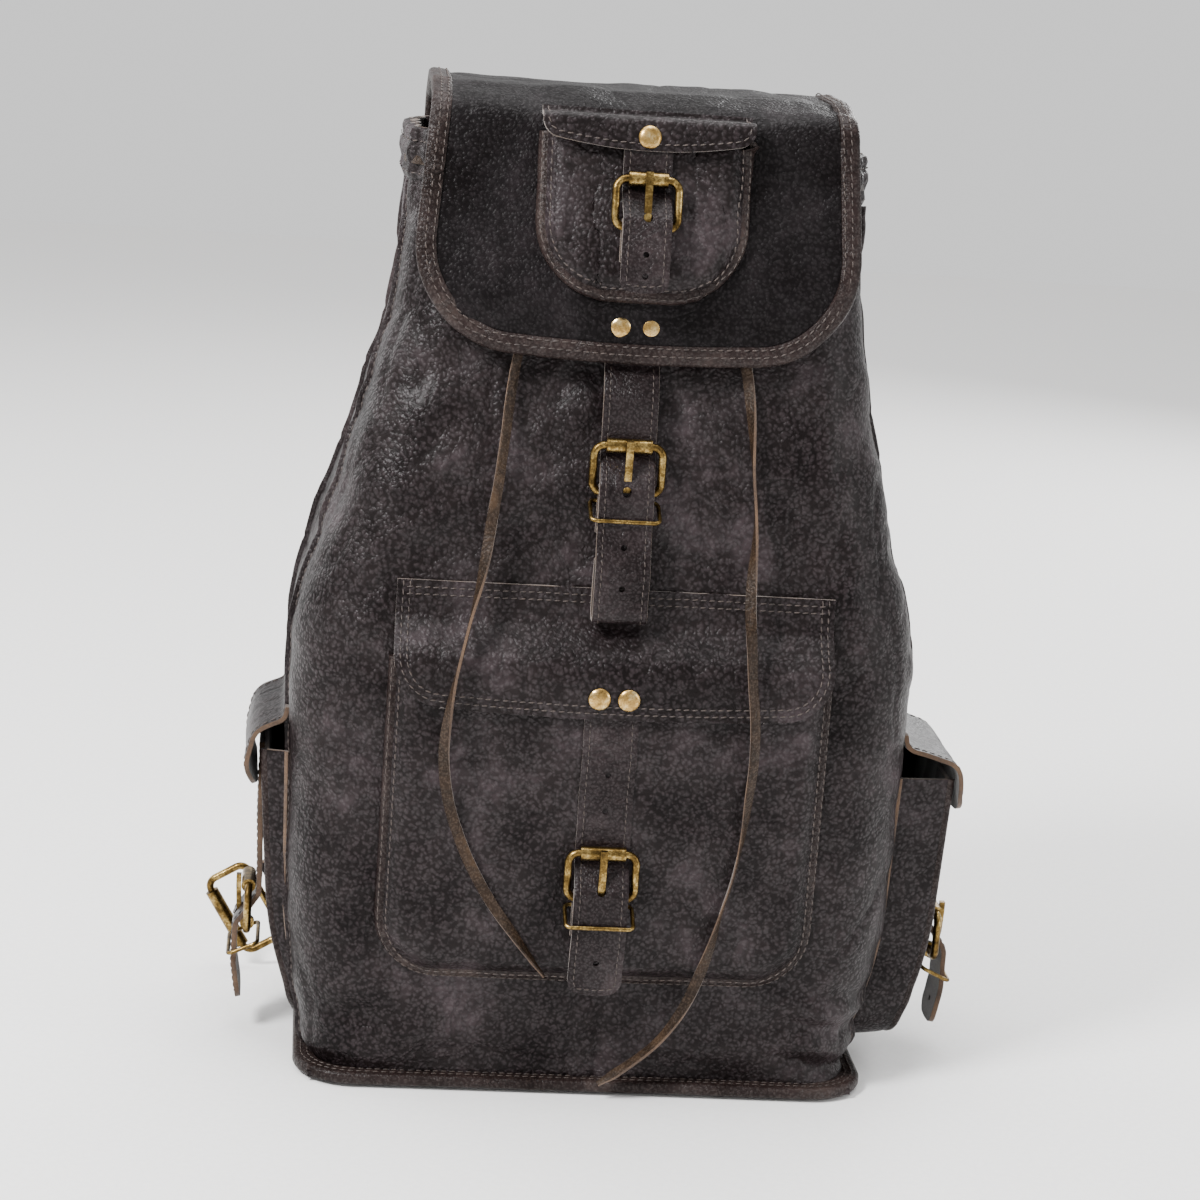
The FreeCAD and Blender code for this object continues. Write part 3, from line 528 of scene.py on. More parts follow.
def ring(height, grow=0.0):
    """The bag's outline from the middle of the left side by the front, right and back, with its lengths."""
    half, front, back = form("width", height) / 2 + grow, form("front", height) + grow, form("back",
                                                                                             height) + grow
    r = form("corner", height) + grow
    points = [(-half, 0.0)]
    for x, y, start in ((-half + r, -front + r, 180), (half - r, -front + r, 270),
                        (half - r, back - r, 0), (-half + r, back - r, 90)):
        for k in range(13):
            angle = math.radians(start + 7.5 * k)
            points.append((x + r * math.cos(angle), y + r * math.sin(angle)))
    points.append((-half, 0.0))
    points = np.array(points)
    lengths = np.concatenate([[0], np.cumsum(np.hypot(*np.diff(points, axis=0).T))])
    return points, lengths


def sag(x, y, height):
    """How far the leather stands out of its plain form: slack folds, creases and gathers."""
    place = (x, y, height)
    out = 2.6 * ripple(place, 62, 3.1) + 1.1 * ripple((x, y, height * 1.5), 26, 7.7)
    out -= 0.9 * crease((x, y * 1.3, height * 0.6), 44, 1.3, 0.10)
    out -= 0.6 * crease((x * 0.7, y, height), 25, 5.2, 0.12)
    low = 1 - ease(height, 12, 58)
    out += low * (2.4 * ripple((x * 0.5, y * 0.5, height * 2.4), 24, 9.2) + 1.2)
    waist = ease(height, 205, 240) * (1 - ease(height, 300, 345))
    out += waist * 1.8 * ripple((x * 0.7, y * 0.7, height * 1.6 + abs(x) * 0.9), 26, 12.4)
    neck = ease(height, 350, 398)
    out += neck * 1.5 * math.sin(0.42 * (x + y) + 3 * ripple(place, 30, 2.2))
    if y < 0:
        out -= 4.5 * math.exp(-((x + 98) ** 2 + (height - 31) ** 2) / 130)
        out += 2.6 * math.exp(-((x + 98) ** 2 + (height - 31) ** 2) / 700)
        right = math.exp(-((x - 104) / 20) ** 2) * (1 - ease(height, 34, 62))
        out += right * 2.6 * math.sin(height * 0.36 + x * 0.06)
        for line in (-7, 5):
            out -= 1.3 * math.exp(-((x - line - height * 0.03) / 1.8) ** 2) * (1 - ease(height, 34, 58))
    return out


def around(which, grow=0.0, low=FOOT, high=MOUTH):
    """The surface of a body panel: u runs round the bag, v up it."""
    kept = {}

    def surface(u, v):
        height = low + (high - low) * v
        key = round(height, 4)
        if key not in kept:
            points, lengths = ring(height, grow)
            seam = seam_y(height)
            left, right = points[:, 0] < 0, points[:, 0] > 0
            half = len(points) // 2
            index = np.arange(len(points))
            marks = []
            for chosen, want in ((left & (index < half), -seam), (right & (index <= half), -seam),
                                 (right & (index > half), seam), (left & (index > half), seam)):
                picked = index[chosen]
                ys = points[picked, 1]
                order = np.argsort(ys)
                marks.append(float(np.interp(want, ys[order], lengths[picked][order])))
            kept[key] = points, lengths, marks
        points, lengths, marks = kept[key]
        ends = {"front": (marks[0], marks[1]), "right": (marks[1], marks[2]), "back": (marks[2], marks[3]),
                "left": (marks[3], marks[0] + lengths[-1]), "all": (0, lengths[-1])}[which]
        mark = (ends[0] + (ends[1] - ends[0]) * u) % lengths[-1]
        x = float(np.interp(mark, lengths, points[:, 0]))
        y = float(np.interp(mark, lengths, points[:, 1]))
        i = min(max(int(np.searchsorted(lengths, mark)), 1), len(points) - 1)
        way = points[i] - points[i - 1]
        way = way / max(math.hypot(*way), 1e-9)
        out = sag(x, y, height) - 0.5
        return x + way[1] * out, y - way[0] * out, height
    return surface


BODY_THICK = 2.0
PANELS = {"front": ("front_panel", 150), "back": ("back_panel", 150), "left": ("gusset_left", 46),
          "right": ("gusset_right", 46)}
for side, (node, columns) in PANELS.items():
    leather_sheet(node + "_leather", around(side), columns, 190, BODY_THICK, BODY_LEATHER, "root", (node,))

seam_runs = []
for number, (side, u) in enumerate((("front", 0.0), ("front", 1.0), ("back", 0.0), ("back", 1.0))):
    panel = around(side)
    path = []
    for v in np.linspace(0.012, 0.945, 150):
        point, out = turned_out(panel, u, v)
        above = turned_out(panel, u, min(v + 0.01, 1))[0]
        path.append((point, (above - point).normalized().cross(out) * -1, out))
    welt = [(-1.6, 0.2), (-1.5, 2.3), (-0.9, 2.9), (-0.1, 2.7), (0.1, 2.6), (0.9, 2.8), (1.5, 2.2),
            (1.6, 0.2)]
    swept("side_seam_%d" % (number + 1), path, welt, STRAP_LEATHER, "root", ())
    inward = 3.4 / 400 * (1 if u == 0 else -1)
    seam_runs.append([(point + out * 1.0, out) for point, out in
                      (turned_out(panel, u + inward * 1.6, v) for v in np.linspace(0.02, 0.93, 180))])
stitches("side_seam_stitching", seam_runs, "root")

# ---------------------------------------------------------------- base
RIM_X, RIM_Y, RIM_CORNER, RIM_BAND, RIM_HIGH = 126, 75, 26, 9, 6


def rim_path(inset, step=3.0):
    """Once round the base at an inset, counter-clockwise seen from above."""
    corners = ((-1, -1, 180), (1, -1, 270), (1, 1, 0), (-1, 1, 90))
    r = RIM_CORNER - inset
    points = []
    for sx, sy, start in corners:
        cx, cy = sx * (RIM_X - RIM_CORNER), sy * (RIM_Y - RIM_CORNER)
        for k in range(0, 91, 6):
            angle = math.radians(start + k)
            points.append((cx + r * math.cos(angle), cy + r * math.sin(angle)))
    dense = []
    for a, b in zip(points, points[1:] + points[:1]):
        count = max(1, int(math.dist(a, b) / step))
        dense.extend([(a[0] + (b[0] - a[0]) * k / count,
                       a[1] + (b[1] - a[1]) * k / count) for k in range(count)])
    return dense


def rim_wave(x, y):
    """The rim isn't quite flat: it lifts a little between the corners."""
    return 0.55 * (1 + ripple((x, y, 0), 55, 4.4))


rim = []
for x, y in rim_path(1.3):
    cx = max(-RIM_X + RIM_CORNER, min(RIM_X - RIM_CORNER, x))
    cy = max(-RIM_Y + RIM_CORNER, min(RIM_Y - RIM_CORNER, y))
    out = Vector((x - cx, y - cy, 0))
    if out.length < 1:
        out = Vector((0, math.copysign(1, y), 0)) if abs(y) > RIM_Y - 3 else Vector((math.copysign(1, x),
                                                                                     0, 0))
    rim.append((Vector((x, y, RIM_HIGH / 2 + rim_wave(x, y))), -out.normalized(), Vector((0, 0, 1))))
rim_section = [(-0.9, -1.2), (-0.4, -2.3), (0.8, -2.8), (8.0, -2.8), (8.2, -1.5), (8.2, 1.6), (7.8, 2.3),
               (5, 2.5),
               (0.8, 2.55), (-0.4, 2.1), (-0.9, 1.1)]
swept("base_rim_binding", rim, rim_section, BINDING_LEATHER, "root", ("base_binding",), closed=True)
rim_stitch = [[(point + inward * inset + Vector((0, 0, 2.6)), Vector((0, 0, 1))) for point, inward,
               _ in rim + rim[:1]]
              for inset in (2.6, 5.4)]
stitches("base_rim_stitching", rim_stitch, "root")


obj = grid(60, 34)
set_points(obj, [((2 * (i % 61) / 60 - 1) * 119, (2 * (i // 61) / 34 - 1) * 68,
                  2.8) for i in range(61 * 35)])
solid = obj.modifiers.new("thickness", "SOLIDIFY")
solid.thickness = 2.4
solid.offset = 0
apply_modifiers(obj)
only(obj)
bpy.ops.object.shade_smooth_by_angle(angle=math.radians(50))
finish_mesh(obj, "base_leather", STRAP_LEATHER, "root", ("base_panel",))

# ---------------------------------------------------------------- drawstring hem
hem_path = []
for u in np.arange(0, 1, 1 / 260):
    height = 397
    points, lengths = ring(height)
    mark = u * lengths[-1]
    x, y = float(np.interp(mark, lengths, points[:, 0])), float(np.interp(mark, lengths, points[:, 1]))
    x2, y2 = (float(np.interp((mark + 1) % lengths[-1], lengths, points[:, i])) for i in (0, 1))
    way = Vector((x2 - x, y2 - y, 0)).normalized()
    out = Vector((way.y, -way.x, 0))
    gather = 0.9 * math.sin(u * 2 * math.pi * 46 + 2.5 * ripple((x, y, 0), 30)) + 0.8 * ripple((x, y, 9),
                                                                                               16)
    hem_path.append((Vector((x, y, height)) + out * gather, out, Vector((0, 0, 1))))
hem_section = [(-2.6, -10.5), (0.9, -11.2), (2.4, -10.6), (3.5, -8.0), (2.9, -4.6), (4.2, 0.0),
               (3.9, 3.0), (2.6, 4.8),
               (3.3, 8.0), (2.6, 10.2), (0.4, 11.0), (-1.8, 10.0), (-2.6, 6.0)]
swept("mouth_hem_leather", hem_path, hem_section, BODY_LEATHER, "root", ("mouth_hem",),
      closed=True)
hem_rows = [[(point + out * 3.35 + Vector((0, 0, z)), out) for point, out, _ in hem_path + hem_path[:1]]
            for z in (-8.0, 5.4)]
stitches("mouth_hem_stitching", hem_rows, "root")


# ---------------------------------------------------------------- pockets
def stitched_edge(name, surface, pattern, insets, lift, body, top=None):
    stitches(name, [sewn(surface, pattern.edge(inset, 2.5, top), lift) for inset in insets], body)


def bound_pocket(name, face, pattern, depth, body, nodes, place=None, reach=11, bulge=1.2, seed=0.0,
                 bound=True,
                 foot_depth=None):
    """A patch pocket: a full leather pouch sewn down at its edge, with the edge bound and stitched."""
    foot_depth = depth if foot_depth is None else foot_depth

    def surface(x, up):
        point, out = face(x, up)
        inside = pattern.depth(x, up)
        middle = ease(inside, 5, 45)
        share = (up - pattern.low) / (pattern.high - pattern.low)
        full = foot_depth + (depth - foot_depth) * share
        stand = 0.9 + (full - 0.9) * ramp_up(inside, reach)
        soft = bulge * middle * (1 + ripple((x, up, seed * 9), 38, seed))
        soft += 0.4 * middle * ripple((x, up * 1.4, 3), 15, seed + 2)
        soft -= 0.5 * ease(inside, 4, 14) * crease((x, up, seed * 5), 34, seed + 4, 0.2)
        low = 1 - ease(up, pattern.low + 18, pattern.low + 46)
        soft += 0.9 * ramp_up(inside, 8) * (1 - middle) * low * ripple((x * 0.6, up, 1), 9, seed + 6)
        return placed(point + out * (stand + soft))

    def placed(point):
        return place @ point if place else point

    def crowded(u, v):
        even = 0.5 - 0.5 * math.cos(math.pi * u)
        return surface(*pattern.point(0.45 * u + 0.55 * even, v))

    leather_sheet(name + "_leather", crowded, 104, 84, 1.8, BODY_LEATHER, body, nodes[:1])
    if bound:
        path = frames(surface, pattern.edge(-0.6, 2.2), 0.2)
        section = [(-1.2, -1.6), (-1.7, 0.4), (-1.2, 2.4), (0.4, 3.5), (3.4, 3.6), (6.4, 3.1), (7.4, 2.1),
                   (7.3, 0.4)]
        swept(name + "_edge_binding", path, section, BINDING_LEATHER, body, nodes[1:])
        stitched_edge(name + "_stitching", surface, pattern, (1.9, 4.7), 3.5, body)
    else:
        path = frames(surface, pattern.edge(reach, 2.5), 0.3)
        ridge = [(-1.3, -0.4), (-1.3, 1.2), (-0.8, 2.3), (0.0, 2.7), (0.8, 2.3), (1.3, 1.2), (1.3, -0.4)]
        swept(name + "_rolled_edge", path, ridge, BINDING_LEATHER, body, ())
        path = frames(surface, pattern.edge(-0.4, 2.5), 0.0)
        cut = [(-1.0, -0.9), (-1.0, 0.8), (0.2, 1.1), (1.0, 0.8), (1.0, -0.9)]
        swept(name + "_cut_edge", path, cut, RAW_EDGE, body, ())
        stitched_edge(name + "_stitching", surface, pattern, (reach + 3.4,), 1.1, body)
    return surface


def bag_front(x, up):
    return Vector((x, -form("front", up), up)), Vector((0, -1, 0))


FRONT_POCKET = Pattern([(54, 92), (192, 92)], corner=25, bow=0.8)
bound_pocket("front_pocket", bag_front, FRONT_POCKET, 10.2, "root",
             ("front_pocket", "front_pocket_binding"),
             bulge=0.9, seed=1.5)


def turned_place(turn, y):
    return Matrix.Translation((0, y, 0)) @ Matrix.Rotation(math.radians(turn), 4, "Z")


SIDES = {"left": turned_place(-90, -2), "right": turned_place(90, -2)}
SIDE_POCKET = Pattern([(12, 34), (138, 34)], corner=22, bow=0)


def bag_side(x, up):
    return Vector((x, -form("width", up) / 2, up)), Vector((0, -1, 0))


for side, depth, foot, seed in (("left", 9.6, 3.5, 3.3), ("right", 23, 21, 6.1)):
    bound_pocket("side_pocket_" + side, bag_side, SIDE_POCKET, depth, "root", ("side_pocket_" + side,),
                 SIDES[side],
                 reach=2.6, bulge=0.8, seed=seed, bound=False, foot_depth=foot)


# ---------------------------------------------------------------- flaps
def flap_surface(line, place=None, seed=0.0, slack=1.0, lift=0.0):
    """A leather flap that follows a side line, with its free edge curling a little."""
    def surface(x, up):
        y, z = line.at(up)
        y2, z2 = line.at(min(up + 1, line.length))
        y1, z1 = line.at(max(up - 1, 0))
        way = Vector((0, y2 - y1, z2 - z1)).normalized()
        out = Vector((0, way.z, -way.y)) * -1
        free = 1 - ease(up, 0, line.length * 0.55)
        soft = slack * (1.0 * ripple((x, up, seed), 48, seed) * (0.5 + free) + 0.4 * ripple((x, up, seed),
                                                                                            17, seed + 3))
        soft -= 0.45 * slack * crease((x, up * 0.8, seed), 32, seed + 1, 0.1)
        soft += lift * free * (abs(x) / 90) ** 2
        point = Vector((x, y, z)) + out * soft
        if up <= 0 or up >= line.length:
            over = up if up <= 0 else up - line.length
            point += way * over
        return place @ point if place else point
    return surface


# The lid runs from its free edge up the front, over the mouth and down to its seam on the back.
LID_LINE = Line([(-62.3, 318), (-62.3, 345, 40), (-45.3, 422, 13), (-21.3, 427.75, 18), (23.5, 427.75, 18),
                 (43.7, 416, 9), (46.57, 385, 8), (44.4, 372)])
LID = Pattern([(7, 89), (48, 92), (108, 88), (LID_LINE.length, 87)], corner=36, bow=5)
LID_JOIN = ("root", "main_flap", (0, 0.0450, 0.398), (0, 0.0270, 0.412))
LID_THICK = 2.5


def lid_surface(x, up):
    plain = flap_surface(LID_LINE, None, 2.4, 1.0)(x, up)
    over = ease(up, 88, 106) * (1 - ease(up, 175, 196))
    top = over * (1.1 * ripple((x * 1.3, up * 0.6, 5), 20, 8.8) - 0.5)
    edge = 1 - ease(up, 4, 34)
    plain += Vector((0, -1, 0)) * edge * (0.8 * math.sin(x * 0.035 + 0.6) + 0.5)
    return plain + Vector((0, 0, 1)) * top


formed("lid_leather", lid_surface, LID, 120, 150, LID_THICK, FLAP_LEATHER, LID_JOIN,
       ("main_flap", "main_flap_band"))
lid_top = LID_LINE.length - 34
swept("lid_edge_binding", frames(lid_surface, LID.edge(0.4, 2.2, lid_top)),
      wrapped_edge(7.2, LID_THICK / 2),
      BINDING_LEATHER, LID_JOIN, ("main_flap_binding",))
stitched_edge("lid_edge_stitching", lid_surface, LID, (3.2, 6.3), LID_THICK / 2 + 1.2, LID_JOIN, lid_top)
lid_rows = [[(p, out) for p, _, out in frames(lid_surface, [(x, LID_LINE.length - inset) for x in
            np.linspace(-82, 82, 90)], LID_THICK / 2)] for inset in (4, 9)]
stitches("lid_back_stitching", lid_rows, LID_JOIN)


def lid_face(x, up):
    point = Vector(lid_surface(x, up))
    across = Vector(lid_surface(x + 1, up)) - point
    along = Vector(lid_surface(x, up + 1)) - point
    out = across.cross(along).normalized()
    return point + out * (LID_THICK / 2), out


FACE_UP = 27            # the lid pocket's own origin lies this far up the lid
LID_POCKET = Pattern([(FACE_UP + 2, 42), (FACE_UP + 67.8, 42)], corner=30, bow=0.6)
bound_pocket("lid_pocket", lid_face, LID_POCKET, 8.4, "main_flap", ("flap_pocket", "flap_pocket_binding"),
             bulge=0.6, seed=5.5, reach=9)

FACE = Matrix.Translation((0, -62.3, 345)) @ Matrix.Rotation(math.atan2(-17, 77), 4, "X")
SMALL_LINE = Line([(-14.85, 58), (-14.85, 73.2, 2.6), (-2.9, 75.4, 2.2), (-2.4, 78.2)], 0.5)
SMALL_FLAP = Pattern([(7.35, 44), (SMALL_LINE.length, 43.5)], corner=6, bow=5)
small_surface = flap_surface(SMALL_LINE, FACE, 4.1, 0.35)
formed("lid_pocket_flap_leather", small_surface, SMALL_FLAP, 90, 46, 2.0, BODY_LEATHER, "small_flap",
       ("small_flap",))
stitched_edge("lid_pocket_flap_stitching", small_surface, SMALL_FLAP, (2.4,), 1.0, "small_flap")

FRONT_FLAP_LINE = Line([(-85.65, 170), (-85.65, 194, 16), (-71.0, 209, 9), (-69.2, 224.5)])
FRONT_FLAP = Pattern([(6, 93), (FRONT_FLAP_LINE.length, 92.5)], corner=20, bow=4)
FRONT_JOIN = ("root", "front_flap", (0, -0.0745, 0.2065), (0, -0.0835, 0.1965))
front_flap_surface = flap_surface(FRONT_FLAP_LINE, None, 7.2, 0.9, 0.5)
formed("front_flap_leather", front_flap_surface, FRONT_FLAP, 130, 50, 2.4, BODY_LEATHER, FRONT_JOIN,
       ("front_flap", "front_flap_band"))
stitched_edge("front_flap_stitching", front_flap_surface, FRONT_FLAP, (2.6, 5.4), 1.2, FRONT_JOIN)
top_rows = [sewn(front_flap_surface, [(x, FRONT_FLAP_LINE.length - inset) for x in np.linspace(-89, 89,
                                                                                               90)], 1.2)
            for inset in (3, 6)]
stitches("front_flap_seam_stitching", top_rows, "root")

SIDE_FLAP_LINES = {
    "left": Line([(-146.5, 116), (-152.6, 131, 14), (-149.5, 147, 11), (-136.6, 152.6, 5), (-135.2, 158)]),
    "right": Line([(-164.5, 118), (-162.6, 130, 14), (-160.8, 145, 9), (-136.4, 152.2, 5), (-135.2, 158)])}
for side, place in SIDES.items():
    line = SIDE_FLAP_LINES[side]
    side_flap = Pattern([(6, 36), (line.length, 36)], corner=13, bow=3)
    side_surface = flap_surface(line, place, 8.1 if side == "left" else 5.7, 0.8, 0)
    formed("side_flap_%s_leather" % side, side_surface, side_flap, 60, 50, 2.0, BODY_LEATHER,
           "side_flap_" + side,
           ("side_flap_" + side,))
    stitched_edge("side_flap_%s_stitching" % side, side_surface, side_flap, (2.6,), 1.0,
                  "side_flap_" + side)


# ---------------------------------------------------------------- straps
def hole_cutter(centre, way, radius=1.3, wide=0.0, reach=3.0):
    bpy.ops.object.select_all(action="DESELECT")
    bpy.ops.mesh.primitive_cylinder_add(vertices=20, radius=radius, depth=reach * 2)
    tool = bpy.context.object
    aim = way.to_track_quat("Z", "Y").to_matrix().to_4x4()
    tool.data.transform(Matrix.Translation(centre) @ aim @ Matrix.Scale(1 + wide / radius, 4, (0, 1, 0)))
    return tool


def buckled_strap(name, corners, half, low, high, place, body, nodes, punched=(), slot_at=None, tip=6.0,
                  material=STRAP_LEATHER, thick=2.2, stitched=True, wear=0.35, seed=0.0, tilt=0.0):
    """A strap threaded through a buckle: low and high are lengths along its line from the line's foot."""
    line = Line(corners, 0.6)
    pattern = Pattern([(low, half), (high, half)], corner=tip, bow=1.5)

    def surface(x, up):
        y, z = line.at(up)
        y2, z2 = line.at(min(up + 0.8, line.length))
        y1, z1 = line.at(max(up - 0.8, 0))
        way = Vector((0, y2 - y1, z2 - z1)).normalized()
        out = Vector((0, -way.z, way.y))
        soft = wear * (0.7 * ripple((x, up, seed), 13, seed) + 0.4 * ripple((x * 0.3, up, seed), 5, seed))
        soft -= 0.25 * (x / half) ** 2
        drift = tilt * (1 - ease(up, low, low + 60))
        return place @ (Vector((x + drift + 0.25 * ripple((0, up, seed), 20), y, z)) + out * soft)

    cutters = []
    for up in punched:
        point, _, out = frames(surface, [(0, up), (0, up + 1)])[0]
        cutters.append(hole_cutter(point, out))
    if slot_at:
        point, _, out = frames(surface, [(0, slot_at), (0, slot_at + 1)])[0]
        cutters.append(hole_cutter(point, out, 2.0, 0.2))
    rows = max(60, int((high - low) / 1.1))
    formed(name + "_leather", surface, pattern, 16, min(rows, 260), thick, material, body, nodes,
           "strap_leather",
           cutters=cutters, inside=FLESH)
    if stitched:
        edge = pattern.edge(2.6, 2.0)
        stitches(name + "_stitching", [sewn(surface, edge, thick / 2)], body, pitch=3.2, length=2.4,
                 size=0.5)
    return surface, line


def chape(name, half, drop, place, body, node):
    """The loop of leather that holds a buckle's heel bar."""
    line = [(-2.85, -drop + 2), (-2.85, 2.85, 2.84), (2.85, 2.85, 2.84), (2.85, -drop)]
    loop = Line(line, 0.4)

    def surface(x, up):
        y, z = loop.at(up)
        y2, z2 = loop.at(min(up + 0.5, loop.length))
        y1, z1 = loop.at(max(up - 0.5, 0))
        way = Vector((0, y2 - y1, z2 - z1)).normalized()
        return place @ (Vector((x, y, z)) + Vector((0, -way.z, way.y)) * 0.15 * ripple((x, up, 0), 8, 2))

    cutter = hole_cutter(place @ Vector((0, 0, 2.0)), place.to_3x3() @ Vector((0, 0, 1)), 2.3, 0.0, 5)
    pattern = Pattern([(0, half), (loop.length, half)])
    formed(name + "_leather", surface, pattern, 14, 60, 1.9, STRAP_LEATHER, body, (node,), "strap_leather",
           cutters=[cutter])


def dome_rivets(name, spots, place, body, node):
    """Pressed caps: a low dome with a rolled foot, one to each post."""
    bpy.ops.object.select_all(action="DESELECT")
    bpy.ops.mesh.primitive_uv_sphere_add(segments=40, ring_count=20, radius=4.8)
    cap = bpy.context.object
    for vertex in cap.data.vertices:
        x, y, z = vertex.co
        around_cap = math.hypot(x, y) / 4.8
        vertex.co.z = z * 0.36 if z > 0 else z * 0.12
        if around_cap > 0.86 and z > 0:
            vertex.co.z *= 0.9
    data = cap.data.copy()
    bpy.data.objects.remove(cap, do_unlink=True)
    copies = []
    for x, y, z in spots:
        mesh = data.copy()
        mesh.transform(place @ Matrix.Translation((x, y, z)) @ Matrix.Rotation(math.radians(90), 4, "X"))
        copy = bpy.data.objects.new(name, mesh)
        bpy.context.collection.objects.link(copy)
        copies.append(copy)
    bpy.ops.object.select_all(action="DESELECT")
    for copy in copies:
        copy.select_set(True)
    bpy.context.view_layer.objects.active = copies[0]
    if len(copies) > 1:
        bpy.ops.object.join()
    joined = bpy.context.object
    joined.data.shade_smooth()
    return finish_mesh(joined, name, RIVET_BRASS, body, (node,))


BEHIND, FRONT, TALL = 4.6, -5.3, 20
HERE = Matrix.Identity(4)


def through_buckle(tail, above):
    """A strap's side line from its tail up: out over the heel bar, in behind the roller."""
    return [*tail, (FRONT, -6, 9), (FRONT, 3, 6), (BEHIND, TALL - 3, 6), (BEHIND, TALL + 3, 9), *above]


MAIN_PLACE = Matrix.Translation((0, -71.4, 266))
hang = FRONT - 5.5
main_tail = [(hang + 8.4, -26), (hang + 8.4, -53, 4.1), (hang, -53, 4.1), (hang, -32, 20), (FRONT, -14, 15)]
main_above = [(4.6, 40, 9), (8.5, 46.5, 2.6), (12.4, 51.2, 3.0), (13.05, 61, 4), (11.8, 65, 4), (11.75, 75)]
main_line = Line(through_buckle(main_tail, main_above), 0.6)
MAIN_LOW = 1.5
buckled_strap("main_strap", through_buckle(main_tail, main_above), 11.5, MAIN_LOW, main_line.length - 1,
              MAIN_PLACE,
              "main_flap", ("main_strap",), punched=(47, 64), slot_at=MAIN_LOW + 86, tip=0.0, seed=1.1,
              wear=0.5)
chape("main_chape", 11.5, 18, MAIN_PLACE, "main_flap", "main_chape")
dome_rivets("main_rivet_caps", [(-6.2, -63.6, 334), (6.2, -63.6, 334)], HERE, "main_flap", "main_rivets")

FRONT_PLACE = Matrix.Translation((0, -87.9, 94))
front_tail = [(FRONT + 4.6, -43), (FRONT, -16, 22)]
front_above = [(4.0, 60, 22), (4.9, 78, 20), (4.9, 98)]
front_line = Line(through_buckle(front_tail, front_above), 0.6)
buckled_strap("front_strap", through_buckle(front_tail, front_above), 11.5, 2, front_line.length - 2,
              FRONT_PLACE,
              "front_flap", ("front_strap",), punched=(16, 84, 100), slot_at=48, tip=5, seed=2.3, wear=0.55)
chape("front_chape", 11.5, 18, FRONT_PLACE, "front_flap", "front_chape")
dome_rivets("front_rivet_caps", [(-6.2, -86.9, 181), (6.2, -86.9, 181)], HERE, "front_flap", "front_rivets")

SMALL_PLACE = FACE @ Matrix.Translation((0, -16.95, 28.5))
small_tail = [(FRONT + 2.6, -27), (FRONT, -17, 20)]
small_above = [(3.5, 32.85, 4), (3.5, 43)]
small_line = Line(through_buckle(small_tail, small_above), 0.6)
buckled_strap("lid_pocket_strap", through_buckle(small_tail, small_above), 10, 2, small_line.length - 1.2,
              SMALL_PLACE,
              "small_flap", ("small_strap",), punched=(7.5, 16), slot_at=31, tip=3, seed=3.7, wear=0.35)
chape("small_chape", 10, 14, SMALL_PLACE, "small_flap", "small_chape")
dome_rivets("small_rivet_cap", [(0, -15.95, 65.95)], FACE, "small_flap", "small_rivet")

side_above = [(3.2, 60, 20), (2.9, 88)]
side_tail = [(FRONT + 3, -34), (FRONT, -16, 20)]
for side, place in SIDES.items():
    heel = place @ Matrix.Translation((0, -162.4 if side == "right" else -148.4, 48))
    side_line = Line(through_buckle(side_tail, side_above), 0.6)
    buckled_strap("side_strap_" + side, through_buckle(side_tail, side_above), 11.5, 2,
                  side_line.length - 1, heel,
                  "side_flap_" + side, ("side_strap_" + side,), punched=(10, 70), slot_at=39, tip=5,
                  seed=4.9)

# ---------------------------------------------------------------- shoulder straps and back
SHOULDER_SIDE = Line([(72.5, 20), (76, 76, 60), (82, 130, 80), (80, 220, 80), (64, 318, 60),
                      (52.4, 350, 20),
                      (49.3, 367)], 1.0)
heights = [SHOULDER_SIDE.at(mark)[1] for mark in SHOULDER_SIDE.marks]
depths = [SHOULDER_SIDE.at(mark)[0] for mark in SHOULDER_SIDE.marks]
for side, sign in (("left", -1), ("right", 1)):
    run = Line([((129 if sign > 0 else 138) * sign, 35.8), (94 * sign, 58, 32), (78 * sign, 130, 50),
                (60 * sign, 230, 80),
                (44 * sign, 330, 60), (42.5 * sign, 366)], 1.0)

    def shoulder(x, up, run=run, sign=sign):
        cx, cz = run.at(up)
        x2, z2 = run.at(min(up + 1, run.length))
        x1, z1 = run.at(max(up - 1, 0))
        way = Vector((x2 - x1, 0, z2 - z1)).normalized()
        across = Vector((way.z, 0, -way.x))
        point = Vector((cx, 0, cz)) + across * x
        y = float(np.interp(cz, heights, depths))
        soft = 0.7 * ripple((x, up, sign), 40, 6.3) + 1.0 - 1.1 * (abs(x) / 17) ** 3
        return Vector((point.x, y + soft, point.z))

    strap_pattern = Pattern([(1, 16.6), (run.length - 1, 17)])

    def outer(x, up, shoulder=shoulder):
        return shoulder(-x, up)

    formed("shoulder_strap_%s_leather" % side, outer, strap_pattern, 22, 230, 3.6, STRAP_LEATHER,
           "shoulder_strap_" + side, ("shoulder_strap_" + side,), "strap_leather", inside=STRAP_LEATHER)
    runs = [sewn(outer, [(x, up) for up in np.linspace(3, run.length - 3, 240)], 1.8) for x in (-13.6,
                                                                                                13.6)]
    stitches("shoulder_strap_%s_stitching" % side, runs, "shoulder_strap_" + side, pitch=4.0, length=3.0)


def back_face(x, up, lift=1.4):
    return Vector((-x, form("back", up) + lift + 0.3 * ripple((x, up, 0), 18, 3), up))


